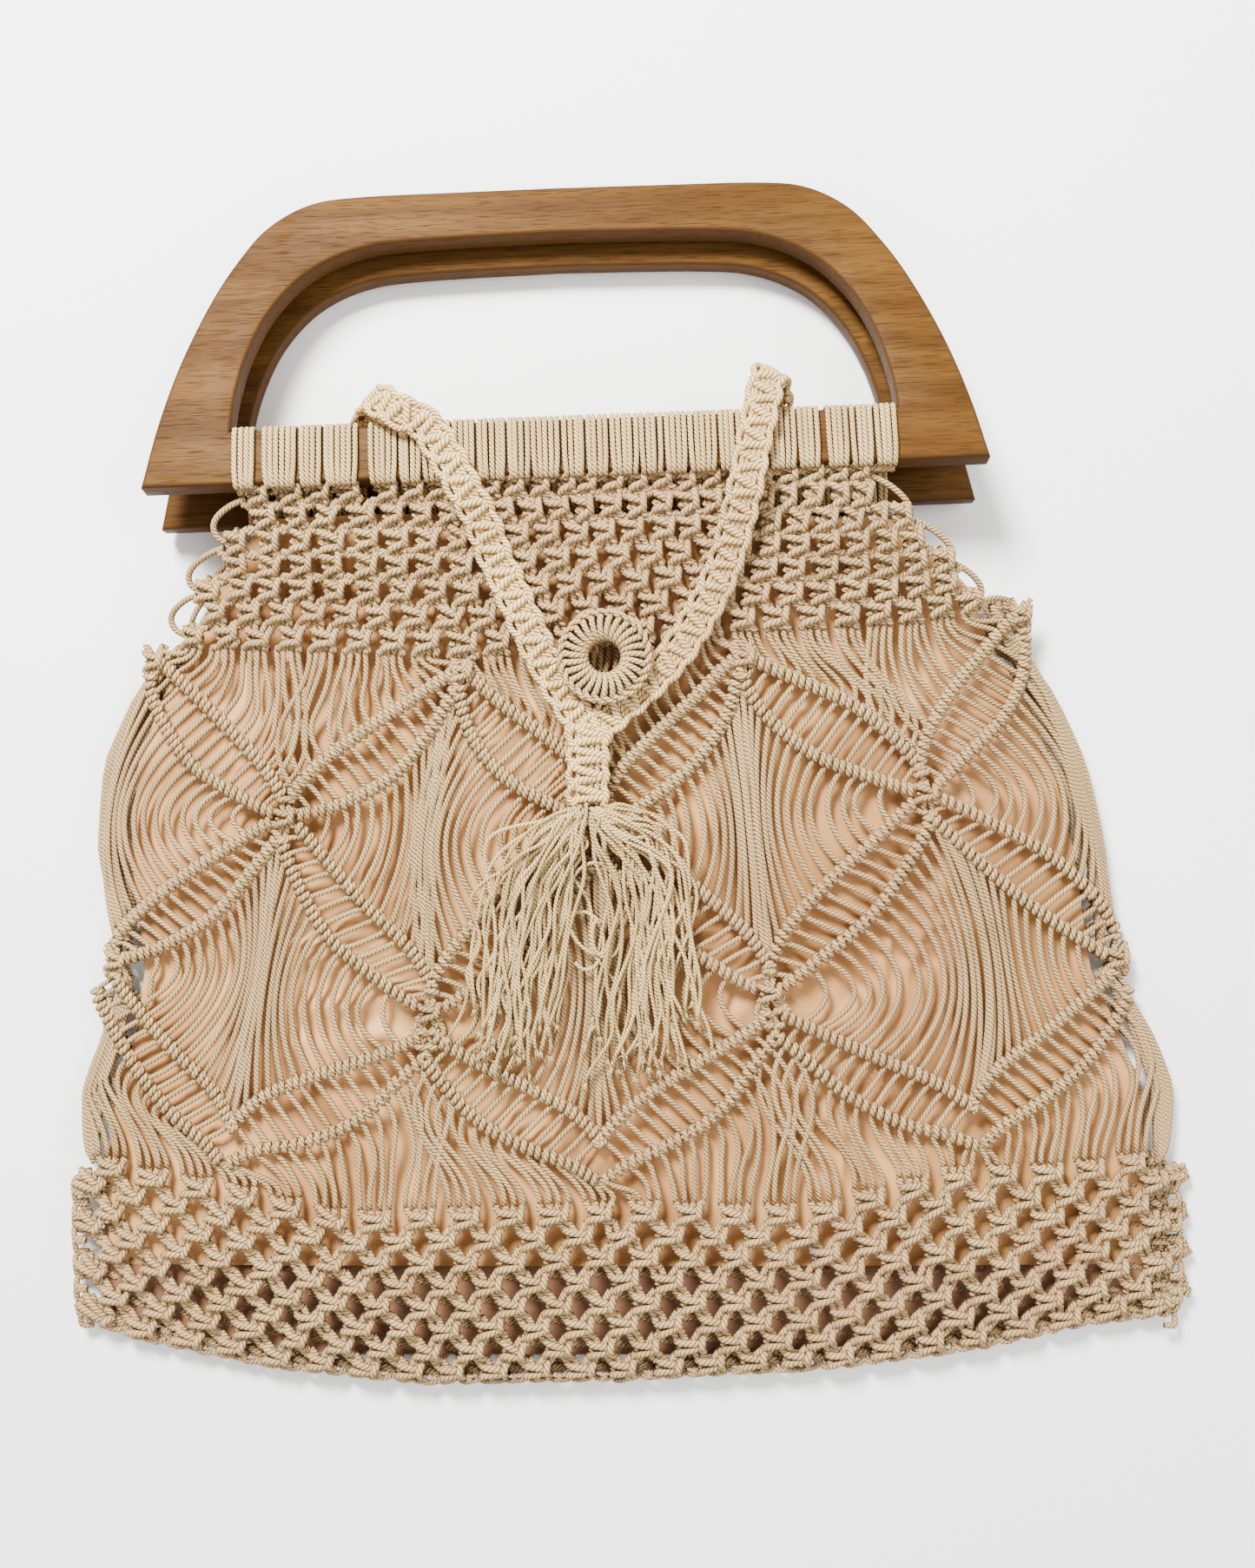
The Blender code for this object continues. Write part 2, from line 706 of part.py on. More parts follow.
def pouch_solid(bm, shrink, over_mouth):
    """The pouch's outer form, or with a shrink the hollow inside it."""
    columns, rows = POUCH_COLUMNS, POUCH_ROWS
    mouth = bar_edge(True)
    mouth_x, mouth_y = [p[0] for p in mouth], [p[1] for p in mouth]
    low = plan(0, POUCH_HEM)[1] + shrink
    front, back = [], []
    for r in range(rows + 1):
        share = r / rows
        for c in range(columns + 1):
            across = c / columns
            high_y = float(np.interp(HANDLE_SHIFT, mouth_x, mouth_y)) - 2 * GAP
            down = down_of(high_y + (low - high_y) * share)
            left = column(SIDES, 2, down) * HALF_WIDTH + POUCH_INSET + shrink
            right = column(SIDES, 3, down) * HALF_WIDTH - POUCH_INSET - shrink
            x = left + (right - left) * across
            top = float(np.interp(x, mouth_x, mouth_y)) - 2 * GAP
            y = top + (low - top) * share + (over_mouth if r == 0 else 0)
            wave = 0.5 - 0.5 * math.cos(2 * math.pi * GATHERS * across)
            near = min(y, top)
            roof = front_top(x, near) - WALL - POUCH_CLEAR - GATHER_DEPTH * wave - shrink
            floor = back_top(x, near) + POUCH_CLEAR / 2 + shrink
            front.append(bm.verts.new((x, y, max(roof, floor + shrink))))
            back.append(bm.verts.new((x, y, floor)))
    wide = columns + 1
    for r in range(rows):
        for c in range(columns):
            i = r * wide + c
            bm.faces.new((front[i], front[i + wide], front[i + wide + 1], front[i + 1]))
            bm.faces.new((back[i], back[i + 1], back[i + wide + 1], back[i + wide]))
    for r in range(rows):
        for i in (r * wide, r * wide + columns):
            bm.faces.new((front[i], front[i + wide], back[i + wide], back[i]))
    for first in (0, rows * wide):
        for i in range(first, first + columns):
            bm.faces.new((front[i], front[i + 1], back[i + 1], back[i]))


def make_lining(name, colour):
    """A satin pouch, open at the mouth between the two bars."""
    obj = new_object(name, lambda bm: pouch_solid(bm, 0, 0), colour, 0.4)
    hollow = new_object(
        name + "_hollow", lambda bm: pouch_solid(bm, LINING_WALL, 0.01), colour, 0.4
    )
    cut_away(obj, hollow)
    return obj


def bar_top(back, x, y):
    """Height of the upper face of a bar's sleeve, carried on as a plane."""
    matrix = handle_matrix(back)
    normal = matrix.to_3x3() @ Vector((0, 0, 1))
    on_face = matrix @ Vector((0, 0, SLEEVE_HALF))
    return on_face.z - (normal.x * (x - on_face.x) + normal.y * (y - on_face.y)) / normal.z


def route_points(rows, thickness, steps):
    """A smooth route from a table of shares, lifts and what it lies on."""
    out = []
    for across, down, under, lift in rows:
        x, y = plan(across, down)
        if under == "panel":
            z = front_top(x, y)
        else:
            z = bar_top(under == "back bar", x, y)
        out.append((x, y, z + GAP + thickness / 2 + lift))
    return [Vector(p) for p in smooth(out, steps)]


def sweep(bm, points, widths, thicknesses, sides):
    """A flattened tube along points, level across wherever it runs down the bag."""
    level_across = Vector((1, 0, 0))
    rings = []
    for i in range(len(points) - 1, -1, -1):
        p = points[i]
        ahead = points[min(i + 1, len(points) - 1)] - points[max(i - 1, 0)]
        ahead.normalize()
        if ahead.y < -0.6:
            level_across = Vector((-ahead.y, ahead.x, 0)).normalized()
        across = (level_across - ahead * level_across.dot(ahead)).normalized()
        up = across.cross(ahead)
        ring = []
        for k in range(sides):
            turn = 2 * math.pi * k / sides
            out = math.copysign(abs(math.cos(turn)) ** 0.7, math.cos(turn)) * widths[i] / 2
            rise = math.copysign(abs(math.sin(turn)) ** 0.7, math.sin(turn)) * thicknesses[i] / 2
            ring.append(p + across * out + up * rise)
        rings.append(ring)
    tube(bm, rings)


def make_strap(name, colour):
    """A flat knotted strap: two branches over the bar that meet in a bound neck."""

    def fill(bm):
        for rows in (LEFT_BRANCH, RIGHT_BRANCH):
            points = route_points(rows, STRAP_THICKNESS, 2)
            count = len(points)
            sweep(bm, points, [STRAP_WIDTH] * count, [STRAP_THICKNESS] * count, 6)

    def neck(bm):
        points = route_points(NECK, NECK_THICKNESS, 2)
        count = len(points)
        sweep(bm, points, [NECK_WIDTH] * count, [NECK_THICKNESS] * count, 10)

    obj = new_object(name, fill, colour, 0.9)
    fuse(obj, new_object(name + "_neck", neck, colour, 0.9))
    return obj


def make_ring(name, colour):
    """A cord-bound ring button with a round eye."""
    across = (RING_OUTER - RING_HOLE) / 4
    middle = RING_HOLE / 2 + across
    x, y = plan(*RING_PLACE)
    z = front_top(x, y) + STRAP_THICKNESS - RING_SINK + RING_THICKNESS / 2
    around, sides = 24, 8

    def fill(bm):
        loops = []
        for k in range(around):
            turn = 2 * math.pi * k / around
            loop = []
            for j in range(sides):
                roll = 2 * math.pi * j / sides
                out = middle + across * math.cos(roll)
                rise = RING_THICKNESS / 2 * math.sin(roll)
                loop.append(bm.verts.new(
                    (x + out * math.cos(turn), y + out * math.sin(turn), z + rise)))
            loops.append(loop)
        for a, b in zip(loops, loops[1:] + loops[:1]):
            for j in range(sides):
                i = (j + 1) % sides
                bm.faces.new((a[j], b[j], b[i], a[i]))

    return new_object(name, fill, colour, 0.9)


def make_tassel(name, colour):
    """A tassel in flat locks, fused to its head."""

    def head(bm):
        points = route_points(HEAD, NECK_THICKNESS, 2)
        shares = [0.9, 1.0, 1.05, 1.0, 0.8]
        sweep(bm, points, [NECK_WIDTH * s for s in shares], [NECK_THICKNESS * s for s in shares], 10)

    def fill(bm):
        start_across, start_down = HEAD[1][0], HEAD[1][1]
        for k, (_, bend_across, bend_down, tip_across, tip_down) in enumerate(LOCKS):
            lean = (k - (len(LOCKS) - 1) / 2) / len(LOCKS)
            rows = (
                (start_across + 0.035 * lean, start_down, "panel", 0.0018),
                ((start_across + bend_across) / 2, start_down + 0.035, "panel", 0.0016),
                (bend_across, bend_down, "panel", 0.0006 + 0.0004 * (k % 2)),
                ((bend_across + tip_across) / 2, (bend_down + tip_down) / 2, "panel", 0.0003),
                (tip_across, tip_down, "panel", 0.0003),
            )
            points = route_points(rows, LOCK_THICKNESS, 2)
            shares = np.interp(np.linspace(0, 1, len(points)), [0, 0.3, 0.7, 1], [0.55, 1, 1, 0.4])
            sweep(bm, points, [LOCK_WIDTH * s for s in shares],
                  [LOCK_THICKNESS * s for s in shares], 6)

    obj = new_object(name, fill, colour, 0.9)
    fuse(obj, new_object(name + "_head", head, colour, 0.9))
    return obj


def stand_on_origin(objects):
    """Moves the whole bag so that the middle of its underside is at the origin."""
    bpy.context.view_layer.update()
    corners = np.array([obj.matrix_world @ Vector(c) for obj in objects for c in obj.bound_box])
    low, high = corners.min(axis=0), corners.max(axis=0)
    shift = Matrix.Translation(((-low[0] - high[0]) / 2, (-low[1] - high[1]) / 2, -low[2]))
    for obj in bpy.data.objects:
        obj.data.transform(shift)


def make_all():
    for obj in list(bpy.data.objects):
        bpy.data.objects.remove(obj, do_unlink=True)
    cord = (0.62, 0.48, 0.31)
    wood = (0.42, 0.26, 0.14)
    satin = (0.80, 0.55, 0.40)
    thread = (0.83, 0.74, 0.52)
    pieces = [
        make_handle("handle_front", False, wood),
        make_handle("handle_back", True, wood),
        make_bar_wrap("bar_wrap_front", False, cord),
        make_bar_wrap("bar_wrap_back", True, cord),
        make_panel("net_front", False, cord),
        make_panel("net_back", True, cord),
        make_lining("lining_pouch", satin),
        make_strap("closure_strap", cord),
        make_ring("ring_button", cord),
        make_tassel("tassel", thread),
    ]
    stand_on_origin(pieces)


make_all()
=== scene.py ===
"""Hand-knotted cord handbag with wooden handles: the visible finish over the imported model.

Laid out as an add-on with one operator for each piece, and run as a script. Metres throughout.
Every cord is a round tube that follows the way the real cord runs. Places on the bag are pairs of
shares, across the half width and down the body, and the heights come from the bag's own domed form.
"""

import math

import bmesh
import bpy
import numpy as np
from mathutils import Matrix, Vector, noise


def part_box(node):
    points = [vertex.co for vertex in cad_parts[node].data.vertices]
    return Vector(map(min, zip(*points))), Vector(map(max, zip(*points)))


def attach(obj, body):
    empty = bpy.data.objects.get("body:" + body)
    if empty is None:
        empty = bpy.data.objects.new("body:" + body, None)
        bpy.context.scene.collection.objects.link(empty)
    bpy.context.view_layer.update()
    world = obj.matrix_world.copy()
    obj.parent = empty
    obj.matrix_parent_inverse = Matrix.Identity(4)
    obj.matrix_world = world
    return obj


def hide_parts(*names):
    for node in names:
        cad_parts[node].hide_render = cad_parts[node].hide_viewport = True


bl_info = {
    "name": "Knotted cord handbag",
    "version": (1, 0, 0),
    "blender": (4, 5, 0),
    "location": "3D View > Sidebar > Handbag",
    "description": "Builds the cords, wood and satin of a hand-knotted handbag",
    "category": "Object",
}

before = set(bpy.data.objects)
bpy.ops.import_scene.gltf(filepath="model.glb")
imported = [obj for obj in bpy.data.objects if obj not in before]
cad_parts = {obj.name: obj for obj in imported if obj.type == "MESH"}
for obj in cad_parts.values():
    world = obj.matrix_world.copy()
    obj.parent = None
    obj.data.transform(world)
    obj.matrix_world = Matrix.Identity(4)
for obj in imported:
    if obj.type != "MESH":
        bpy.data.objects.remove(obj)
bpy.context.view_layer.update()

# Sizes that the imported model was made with
HALF_WIDTH = 0.2085
BODY_LENGTH = 0.331
BODY_TOP = 0.1071
WALL = 0.003
CORD = 0.0022
BAR_HEIGHT = 0.0200
BOARD_THICKNESS = 0.0095
BOARD_HALF_WIDTH = 0.1505
BOARD_HEIGHT = 0.1105
OUTLINE_STEPS = 6
OPENING_HALF_WIDTH = 0.1190
RAIL_HEIGHT = 0.0180
HANDLE_TURN = math.radians(2.16)
HANDLE_SHIFT = -0.0218
BAR_LEVEL = 0.1096
BACK_SLIDE = 0.0102
GAP = 0.0003
MOUTH_GAP = 0.0100
EDGE_LIFT = 0.0020
WRAP = GAP + CORD
SLEEVE_HALF = BOARD_THICKNESS / 2 + WRAP
BACK_TILT = math.asin(WRAP / (BOARD_HEIGHT - BAR_HEIGHT - WRAP))
BAR_CENTRE_BACK = SLEEVE_HALF + (BAR_HEIGHT / 2 + WRAP) * math.sin(BACK_TILT)
BAR_CENTRE_FRONT = BAR_CENTRE_BACK + 2 * SLEEVE_HALF + MOUTH_GAP
FRONT_TILT = math.asin(
    (BAR_CENTRE_FRONT - 1.5 * BOARD_THICKNESS - GAP)
    / (BOARD_HEIGHT - BACK_SLIDE - BAR_HEIGHT / 2)
)
PANEL_EDGE = EDGE_LIFT + 2 * WALL + GAP
PANEL_RISE = (
    BAR_CENTRE_FRONT + (BAR_HEIGHT / 2 + WRAP) * math.sin(FRONT_TILT) + WALL / 2 - PANEL_EDGE
)

# Half of the board's outline: share of the half width, share of the height
BOARD_OUTSIDE = (
    (1.000, 0.000), (0.962, 0.215), (0.909, 0.430), (0.838, 0.640), (0.772, 0.785),
    (0.705, 0.893), (0.612, 0.968), (0.500, 0.993), (0.250, 0.998), (0.000, 1.000),
)
BOARD_INSIDE = (
    (1.000, 0.000), (0.984, 0.200), (0.944, 0.430), (0.872, 0.655),
    (0.760, 0.840), (0.610, 0.950), (0.420, 0.985), (0.000, 1.000),
)

# Side outline: down, left, right, share of the way up to the bar at the edge, share at the crown
SIDES = np.array((
    (0.000, -0.690, 0.475, 1.00, 1.00),
    (0.050, -0.729, 0.585, 0.74, 1.00),
    (0.110, -0.803, 0.675, 0.30, 0.98),
    (0.167, -0.837, 0.714, 0.08, 0.95),
    (0.225, -0.896, 0.775, 0.00, 0.91),
    (0.300, -0.941, 0.825, 0.00, 0.87),
    (0.400, -0.955, 0.865, 0.00, 0.78),
    (0.530, -0.930, 0.895, 0.00, 0.56),
    (0.605, -0.945, 0.948, 0.00, 0.47),
    (0.665, -0.980, 0.982, 0.00, 0.42),
    (0.760, -0.999, 0.993, 0.00, 0.37),
    (0.900, -0.995, 0.999, 0.00, 0.32),
    (1.000, -0.960, 0.960, 0.00, 0.26),
))

# Bottom outline: across, down
HEM = np.array((
    (-0.995, 0.900), (-0.960, 0.930), (-0.857, 0.953), (-0.610, 0.984), (-0.360, 1.000),
    (0.000, 0.996), (0.385, 0.982), (0.634, 0.960), (0.820, 0.934), (0.960, 0.924), (0.999, 0.900),
))

# Lower edge of the upper band and middle of the base band's first row: across, down
BAND_LINE = np.array((
    (-0.840, 0.170), (-0.589, 0.176), (-0.375, 0.184), (-0.286, 0.187), (-0.122, 0.180),
    (0.056, 0.170), (0.197, 0.158), (0.339, 0.154), (0.477, 0.148), (0.571, 0.137), (0.714, 0.118),
))
BASE_LINE = np.array((
    (-0.990, 0.744), (-0.844, 0.765), (-0.671, 0.785), (-0.502, 0.810), (-0.344, 0.806),
    (-0.168, 0.802), (0.005, 0.796), (0.176, 0.801), (0.332, 0.801), (0.408, 0.788),
    (0.583, 0.760), (0.776, 0.759), (0.990, 0.744),
))

# Knots that the leaves run between: kind, across, down
NODES = {
    "P0": ("peak", -0.843, 0.186),
    "P1": ("peak", -0.286, 0.204),
    "P2": ("peak", 0.197, 0.188),
    "P3": ("peak", 0.695, 0.136),
    "A": ("star", -0.595, 0.361),
    "M": ("star", -0.041, 0.368),
    "B": ("star", 0.519, 0.334),
    "L2": ("fold", -0.914, 0.522),
    "C": ("star", -0.346, 0.576),
    "D": ("star", 0.249, 0.554),
    "R2": ("fold", 0.874, 0.520),
    "V1": ("foot", -0.705, 0.721),
    "V2": ("foot", -0.049, 0.738),
    "V3": ("foot", 0.616, 0.700),
}

# Leaves: upper knot, lower knot, then how far the upper and lower bar stand off the straight line
# between the knots, in millimetres up the bag, at five places along it
LEAF_PLACES = (0.08, 0.25, 0.50, 0.75, 0.92)
LEAVES = (
    ("P0", "A", (2.6, 4.2, 6.0, 6.6, 4.6), (-7.0, -11.6, -13.4, -8.2, -3.0)),
    ("P1", "A", (2.5, 4.0, 6.2, 7.0, 4.6), (-3.7, -8.8, -13.0, -9.5, -3.4)),
    ("A", "L2", (2.6, 4.8, 7.3, 8.2, 6.6), (-4.0, -7.0, -10.6, -8.1, -3.3)),
    ("A", "C", (2.4, 3.4, 5.2, 8.4, 6.4), (-6.3, -10.5, -13.2, -8.2, -3.2)),
    ("P1", "M", (2.2, 3.3, 6.7, 8.2, 5.4), (-6.1, -12.5, -14.1, -9.0, -3.4)),
    ("P2", "M", (2.9, 3.8, 6.4, 8.0, 5.4), (-3.1, -8.8, -10.8, -7.6, -3.4)),
    ("M", "C", (3.4, 6.2, 9.4, 9.6, 6.0), (-5.3, -8.3, -9.3, -6.3, -3.2)),
    ("M", "D", (3.3, 5.9, 8.3, 9.4, 6.2), (-6.4, -10.4, -11.4, -7.4, -3.2)),
    ("P2", "B", (2.6, 5.5, 10.0, 9.3, 6.0), (-7.0, -11.8, -12.6, -7.4, -2.8)),
    ("P3", "B", (3.2, 6.0, 9.6, 9.9, 6.4), (-6.3, -11.6, -11.9, -6.2, -2.6)),
    ("B", "D", (2.2, 4.4, 8.4, 9.8, 6.2), (-7.4, -10.2, -11.8, -7.0, -3.0)),
    ("B", "R2", (2.8, 7.1, 12.4, 12.6, 8.0), (-5.0, -6.0, -6.4, -4.5, -2.0)),
    ("R2", "V3", (-2.0, 0.2, 3.6, 7.6, 6.6), (-11.2, -14.8, -15.8, -12.2, -8.2)),
    ("D", "V3", (-3.6, -2.4, 0.8, 4.4, 4.4), (-10.8, -13.3, -16.4, -14.5, -9.4)),
    ("C", "V2", (-5.0, -3.6, 1.6, 6.2, 5.6), (-12.6, -16.6, -18.6, -13.7, -8.6)),
    ("D", "V2", (-5.0, -3.4, 1.8, 5.4, 4.9), (-11.6, -14.6, -18.6, -14.2, -9.0)),
    ("L2", "V1", (-3.6, -2.4, 0.8, 5.4, 4.4), (-12.6, -14.6, -14.8, -12.6, -8.4)),
    ("C", "V1", (-5.0, -3.6, 2.1, 6.6, 5.0), (-11.8, -14.6, -19.0, -14.9, -8.4)),
)

# Where a bar starts beside each kind of knot: share along the leaf and stand-off, upper then lower
LEAF_STARTS = {
    "peak": ((0.00, 1.4), (0.035, -2.6)),
    "star": ((0.055, 1.6), (0.055, -2.6)),
    "fold": ((0.045, -0.6), (0.06, -6.0)),
}
LEAF_ENDS = {
    "star": ((0.945, 2.6), (0.945, -1.6)),
    "fold": ((0.955, 3.6), (0.955, -1.6)),
    "foot": ((0.975, 4.2), (1.055, -7.0)),
}

# Open diamonds between two leaves above and two below: the line that their loose cords bunch along
MIDLINES = {
    ("A", 1): -0.330, ("M", -1): -0.366, ("M", 1): 0.222, ("B", -1): 0.210,
    ("A", -1): -0.930, ("B", 1): 0.838, ("L2", 1): -0.640, ("C", -1): -0.655,
    ("C", 1): -0.047, ("D", -1): -0.060, ("D", 1): 0.612, ("R2", -1): 0.625,
}
# How far each loose cord swings out from its star, as a share of the way to that line
REACHES = (0.18, 0.27, 0.40, 0.48, 0.56, 0.65, 0.72, 0.79, 0.84, 0.88, 0.915, 0.945, 0.97, 1.0)
LEAF_CORDS = 14

# Cords wound round the front bar, left to right: how many turns, then the bare wood after them
WRAP_GROUPS = (
    (4, 2.3), (6, 0.6), (4, 0.5), (6, 3.4), (5, 0.2), (4, 0.3), (5, 0.2), (4, 0.5),
    (5, 0.3), (4, 0.2), (5, 0.4), (4, 0.2), (4, 0.3), (5, 0.2), (4, 0.4), (4, 0.2),
    (5, 0.3), (4, 0.4), (4, 0.3), (5, 0.3), (4, 1.9), (4, 0.4), (4, 0.3), (4, 0.0),
)
WRAP_PITCH = CORD * 0.93
WRAP_RADIUS = CORD * 0.445
LOOSE_RADIUS = CORD * 0.47

# Bands of square knots: how far their knots stand in from the sides, on the right further by
# RIGHT_INSET, and how far up their first and last rows begin, as shares of the body
BAND_COLUMNS = len(WRAP_GROUPS)
BAND_ROWS = 7
BASE_ROWS = 8
BAND_INSET = 0.0085
BASE_INSET = 0.0078
RIGHT_INSET = 0.0032
BAND_TUCK = 0.0135
BASE_RISE = 0.012
HEM_RISE = 0.004

# Loose cords: leaf between its two knots, then the number of the band's cord that they start at
UPPER_CORDS = {
    ("P0", "A"): 2, ("P1", "A"): 16, ("P1", "M"): 34,
    ("P2", "M"): 48, ("P2", "B"): 66, ("P3", "B"): 80,
}
LOWER_CORDS = {
    ("L2", "V1"): 0, ("C", "V1"): 18, ("C", "V2"): 32,
    ("D", "V2"): 50, ("D", "V3"): 64, ("R2", "V3"): 82,
}
# Cords that meet at one knot: the knot, the first cord's number, how many
MEETING_CORDS = (
    ("V1", 14, 4), ("V2", 46, 4), ("V3", 78, 4),
    ("P0", 0, 2), ("P1", 30, 4), ("P2", 62, 4), ("P3", 94, 2),
)
SLACK = 0.0012
MEETING_SLACK = 0.0003

# Strap routes: across, down, what it lies on, lift of the strap's middle above that
LEFT_BRANCH = (
    (-0.466, -0.020, "back bar", 0.0000), (-0.462, -0.050, "back bar", 0.0008),
    (-0.452, -0.081, "back bar", 0.0075), (-0.432, -0.090, "back bar", 0.0180),
    (-0.395, -0.074, "bar", 0.0018), (-0.345, -0.060, "bar", 0.0006),
    (-0.300, -0.018, "bar", 0.0006), (-0.278, 0.008, "bar", -0.0004),
    (-0.250, 0.040, "panel", 0.0032), (-0.222, 0.085, "panel", 0.0000),
    (-0.188, 0.130, "panel", 0.0000), (-0.155, 0.176, "panel", 0.0000),
    (-0.124, 0.212, "panel", 0.0000), (-0.096, 0.240, "panel", 0.0008),
    (-0.078, 0.262, "panel", 0.0016), (-0.070, 0.280, "panel", 0.0020),
)
RIGHT_BRANCH = (
    (0.262, -0.036, "back bar", 0.0000), (0.262, -0.068, "back bar", 0.0008),
    (0.256, -0.100, "back bar", 0.0070), (0.246, -0.117, "back bar", 0.0160),
    (0.236, -0.110, "back bar", 0.0225), (0.226, -0.080, "bar", 0.0016),
    (0.208, -0.028, "bar", 0.0006), (0.200, 0.000, "bar", 0.0004),
    (0.187, 0.036, "panel", 0.0040), (0.163, 0.090, "panel", 0.0000),
    (0.130, 0.135, "panel", 0.0000), (0.085, 0.180, "panel", 0.0000),
    (0.030, 0.218, "panel", 0.0000), (-0.020, 0.244, "panel", 0.0008),
    (-0.052, 0.264, "panel", 0.0016), (-0.062, 0.280, "panel", 0.0020),
)
NECK = (
    (-0.066, 0.262, "panel", 0.0000), (-0.067, 0.295, "panel", 0.0000),
    (-0.069, 0.345, "panel", 0.0000),
)
STRAP_WIDTH = 0.0122
STRAP_THICKNESS = 0.0036
NECK_WIDTH = 0.0145
NECK_THICKNESS = 0.0085
RING_PLACE = (-0.039, 0.188)
RING_OUTER = 0.0335
RING_HOLE = 0.0110
RING_THICKNESS = 0.0075
RING_LIFT = STRAP_THICKNESS - 0.0005
RING_BINDINGS = 27
BRANCH_PITCH = 0.0088
NECK_PITCH = 0.0066
TASSEL_HEAD = (-0.068, 0.352)

# Locks of the tassel: how many threads, across and down at the bend, then at the tip
LOCKS = (
    (9, -0.222, 0.428, -0.258, 0.585), (12, -0.186, 0.432, -0.222, 0.604),
    (12, -0.142, 0.430, -0.180, 0.616), (7, -0.105, 0.440, -0.130, 0.592),
    (7, -0.026, 0.440, -0.036, 0.594), (12, 0.018, 0.425, 0.010, 0.618),
    (12, 0.055, 0.412, 0.062, 0.612), (8, 0.086, 0.402, 0.110, 0.580),
)
# Threads that curl over the others: across, down, first angle, size, growth over the curl
CURLS = (
    (-0.052, 0.452, 0.4, 0.0085, 1.5), (-0.034, 0.490, 2.2, 0.0060, 0.7),
    (-0.075, 0.500, 4.0, 0.0050, 1.8),
)
FRAYED_HAIRS = 5
THREAD_LIFTS = np.array([0.0050, 0.0042, 0.0020, 0.0012, 0.0009])
THREAD_SPREAD = np.array([0.0025, 0.0035, 0.0035, 0.0030, 0.0018])

# Satin pouch: how far it stands in from the sides, its hems, its depth, and how far the back
# layer's hem keeps from the bag's own, as a share of the body
POUCH_INSET = 0.014
POUCH_HEM = 0.865
POUCH_BACK_HEM = 0.968
POUCH_DEPTH = 0.0038
HEM_MARGIN = 0.022
HEM_REACH = 0.93

# Grey mark on the base band: across and down, height, reach
STAIN_PLACE = (0.318, 0.842)
STAIN_HEIGHT = 0.014
STAIN_REACH = 0.0075

# Photograph's height in pixels, what a pixel spans a metre away, the camera's height and its film
PHOTO_HEIGHT = 1806
PIXEL_SPAN = 0.3125e-3 / 0.600
CAMERA_HEIGHT = 0.628
FILM_HEIGHT = 36.0
FLOOR_SIZE = 3.0
FLOOR_DROP = 0.0002

# Lights: name, place, size, share of the key light's power
LIGHTS = (
    ("key_light", (-0.42, 0.86, 0.97), 0.36, 1.0),
    ("side_light", (0.95, 0.15, 0.9), 0.9, 0.16),
    ("front_light", (0.0, -1.05, 0.9), 0.9, 0.12),
)

# Cottons: cleanest colour, usual colour, whether the grey mark is on it
COTTONS = {
    # the net's cotton is coloured darker than the same cotton on the bars and the ring
    "net_cotton": ("net_light", "net_middle", True),
    "bag_cotton": ("light", "middle", False),
    "strap_cotton": ("strap_light", "strap_middle", False),
}


def table(rows, index, at):
    """One column of a table, read between its rows."""
    return np.interp(at, rows[:, 0], rows[:, index])


def plan(across, down):
    """Plan places of pairs of shares."""
    across, down = np.broadcast_arrays(np.asarray(across, float), np.asarray(down, float))
    return np.stack([across * HALF_WIDTH, BODY_TOP - down * BODY_LENGTH], axis=-1)


def raised(xy, z):
    """Plan places with their heights."""
    return np.concatenate([xy, z[..., None]], axis=-1)


def bulge(xy):
    """0 at the bag's sides and bottom, 1 along its middle."""
    x, y = xy[..., 0], xy[..., 1]
    down = (BODY_TOP - y) / BODY_LENGTH
    left, right = table(SIDES, 1, down) * HALF_WIDTH, table(SIDES, 2, down) * HALF_WIDTH
    hem = BODY_TOP - table(HEM, 1, x / HALF_WIDTH) * BODY_LENGTH
    side = np.minimum(1, np.abs(2 * x - left - right) / (right - left))
    rise = np.clip((y - hem) / (0.14 * BODY_LENGTH), 0, 1)
    return (1 - side ** 3) * (1 - (1 - rise) ** 3)


def front_top(xy):
    """Height of the front panel's outer face."""
    down = (BODY_TOP - xy[..., 1]) / BODY_LENGTH
    edge = PANEL_EDGE + PANEL_RISE * table(SIDES, 3, down)
    crown = PANEL_EDGE + PANEL_RISE * table(SIDES, 4, down)
    return edge + np.maximum(0, crown - edge) * bulge(xy)


def back_top(xy):
    """Height of the back panel's inner face."""
    return WALL + EDGE_LIFT * (1 - bulge(xy)) ** 2


def middle_of_ring():
    """Place of the ring button's middle, in the plan that the tables use."""
    xy = plan(*RING_PLACE)
    return np.array([*xy, front_top(xy) + RING_LIFT + RING_THICKNESS / 2])


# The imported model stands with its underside's middle at the origin
ORIGIN = np.mean([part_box("ring_button")[0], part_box("ring_button")[1]], axis=0) - middle_of_ring()


def handle_matrix(back):
    """Place of a handle: its own X runs along the bar, its Y up to the rail, its Z is its face."""
    tilt = BACK_TILT if back else FRONT_TILT
    centre = BAR_CENTRE_BACK if back else BAR_CENTRE_FRONT
    lift = centre + BAR_HEIGHT / 2 * math.sin(tilt)
    place = Matrix.Translation((HANDLE_SHIFT, BAR_LEVEL - (BACK_SLIDE if back else 0), lift))
    return place @ Matrix.Rotation(HANDLE_TURN, 4, "Z") @ Matrix.Rotation(-tilt, 4, "X")


def place_with(matrix, points):
    """Points moved by a 4x4 matrix."""
    m = np.array(matrix)
    return points @ m[:3, :3].T + m[:3, 3]


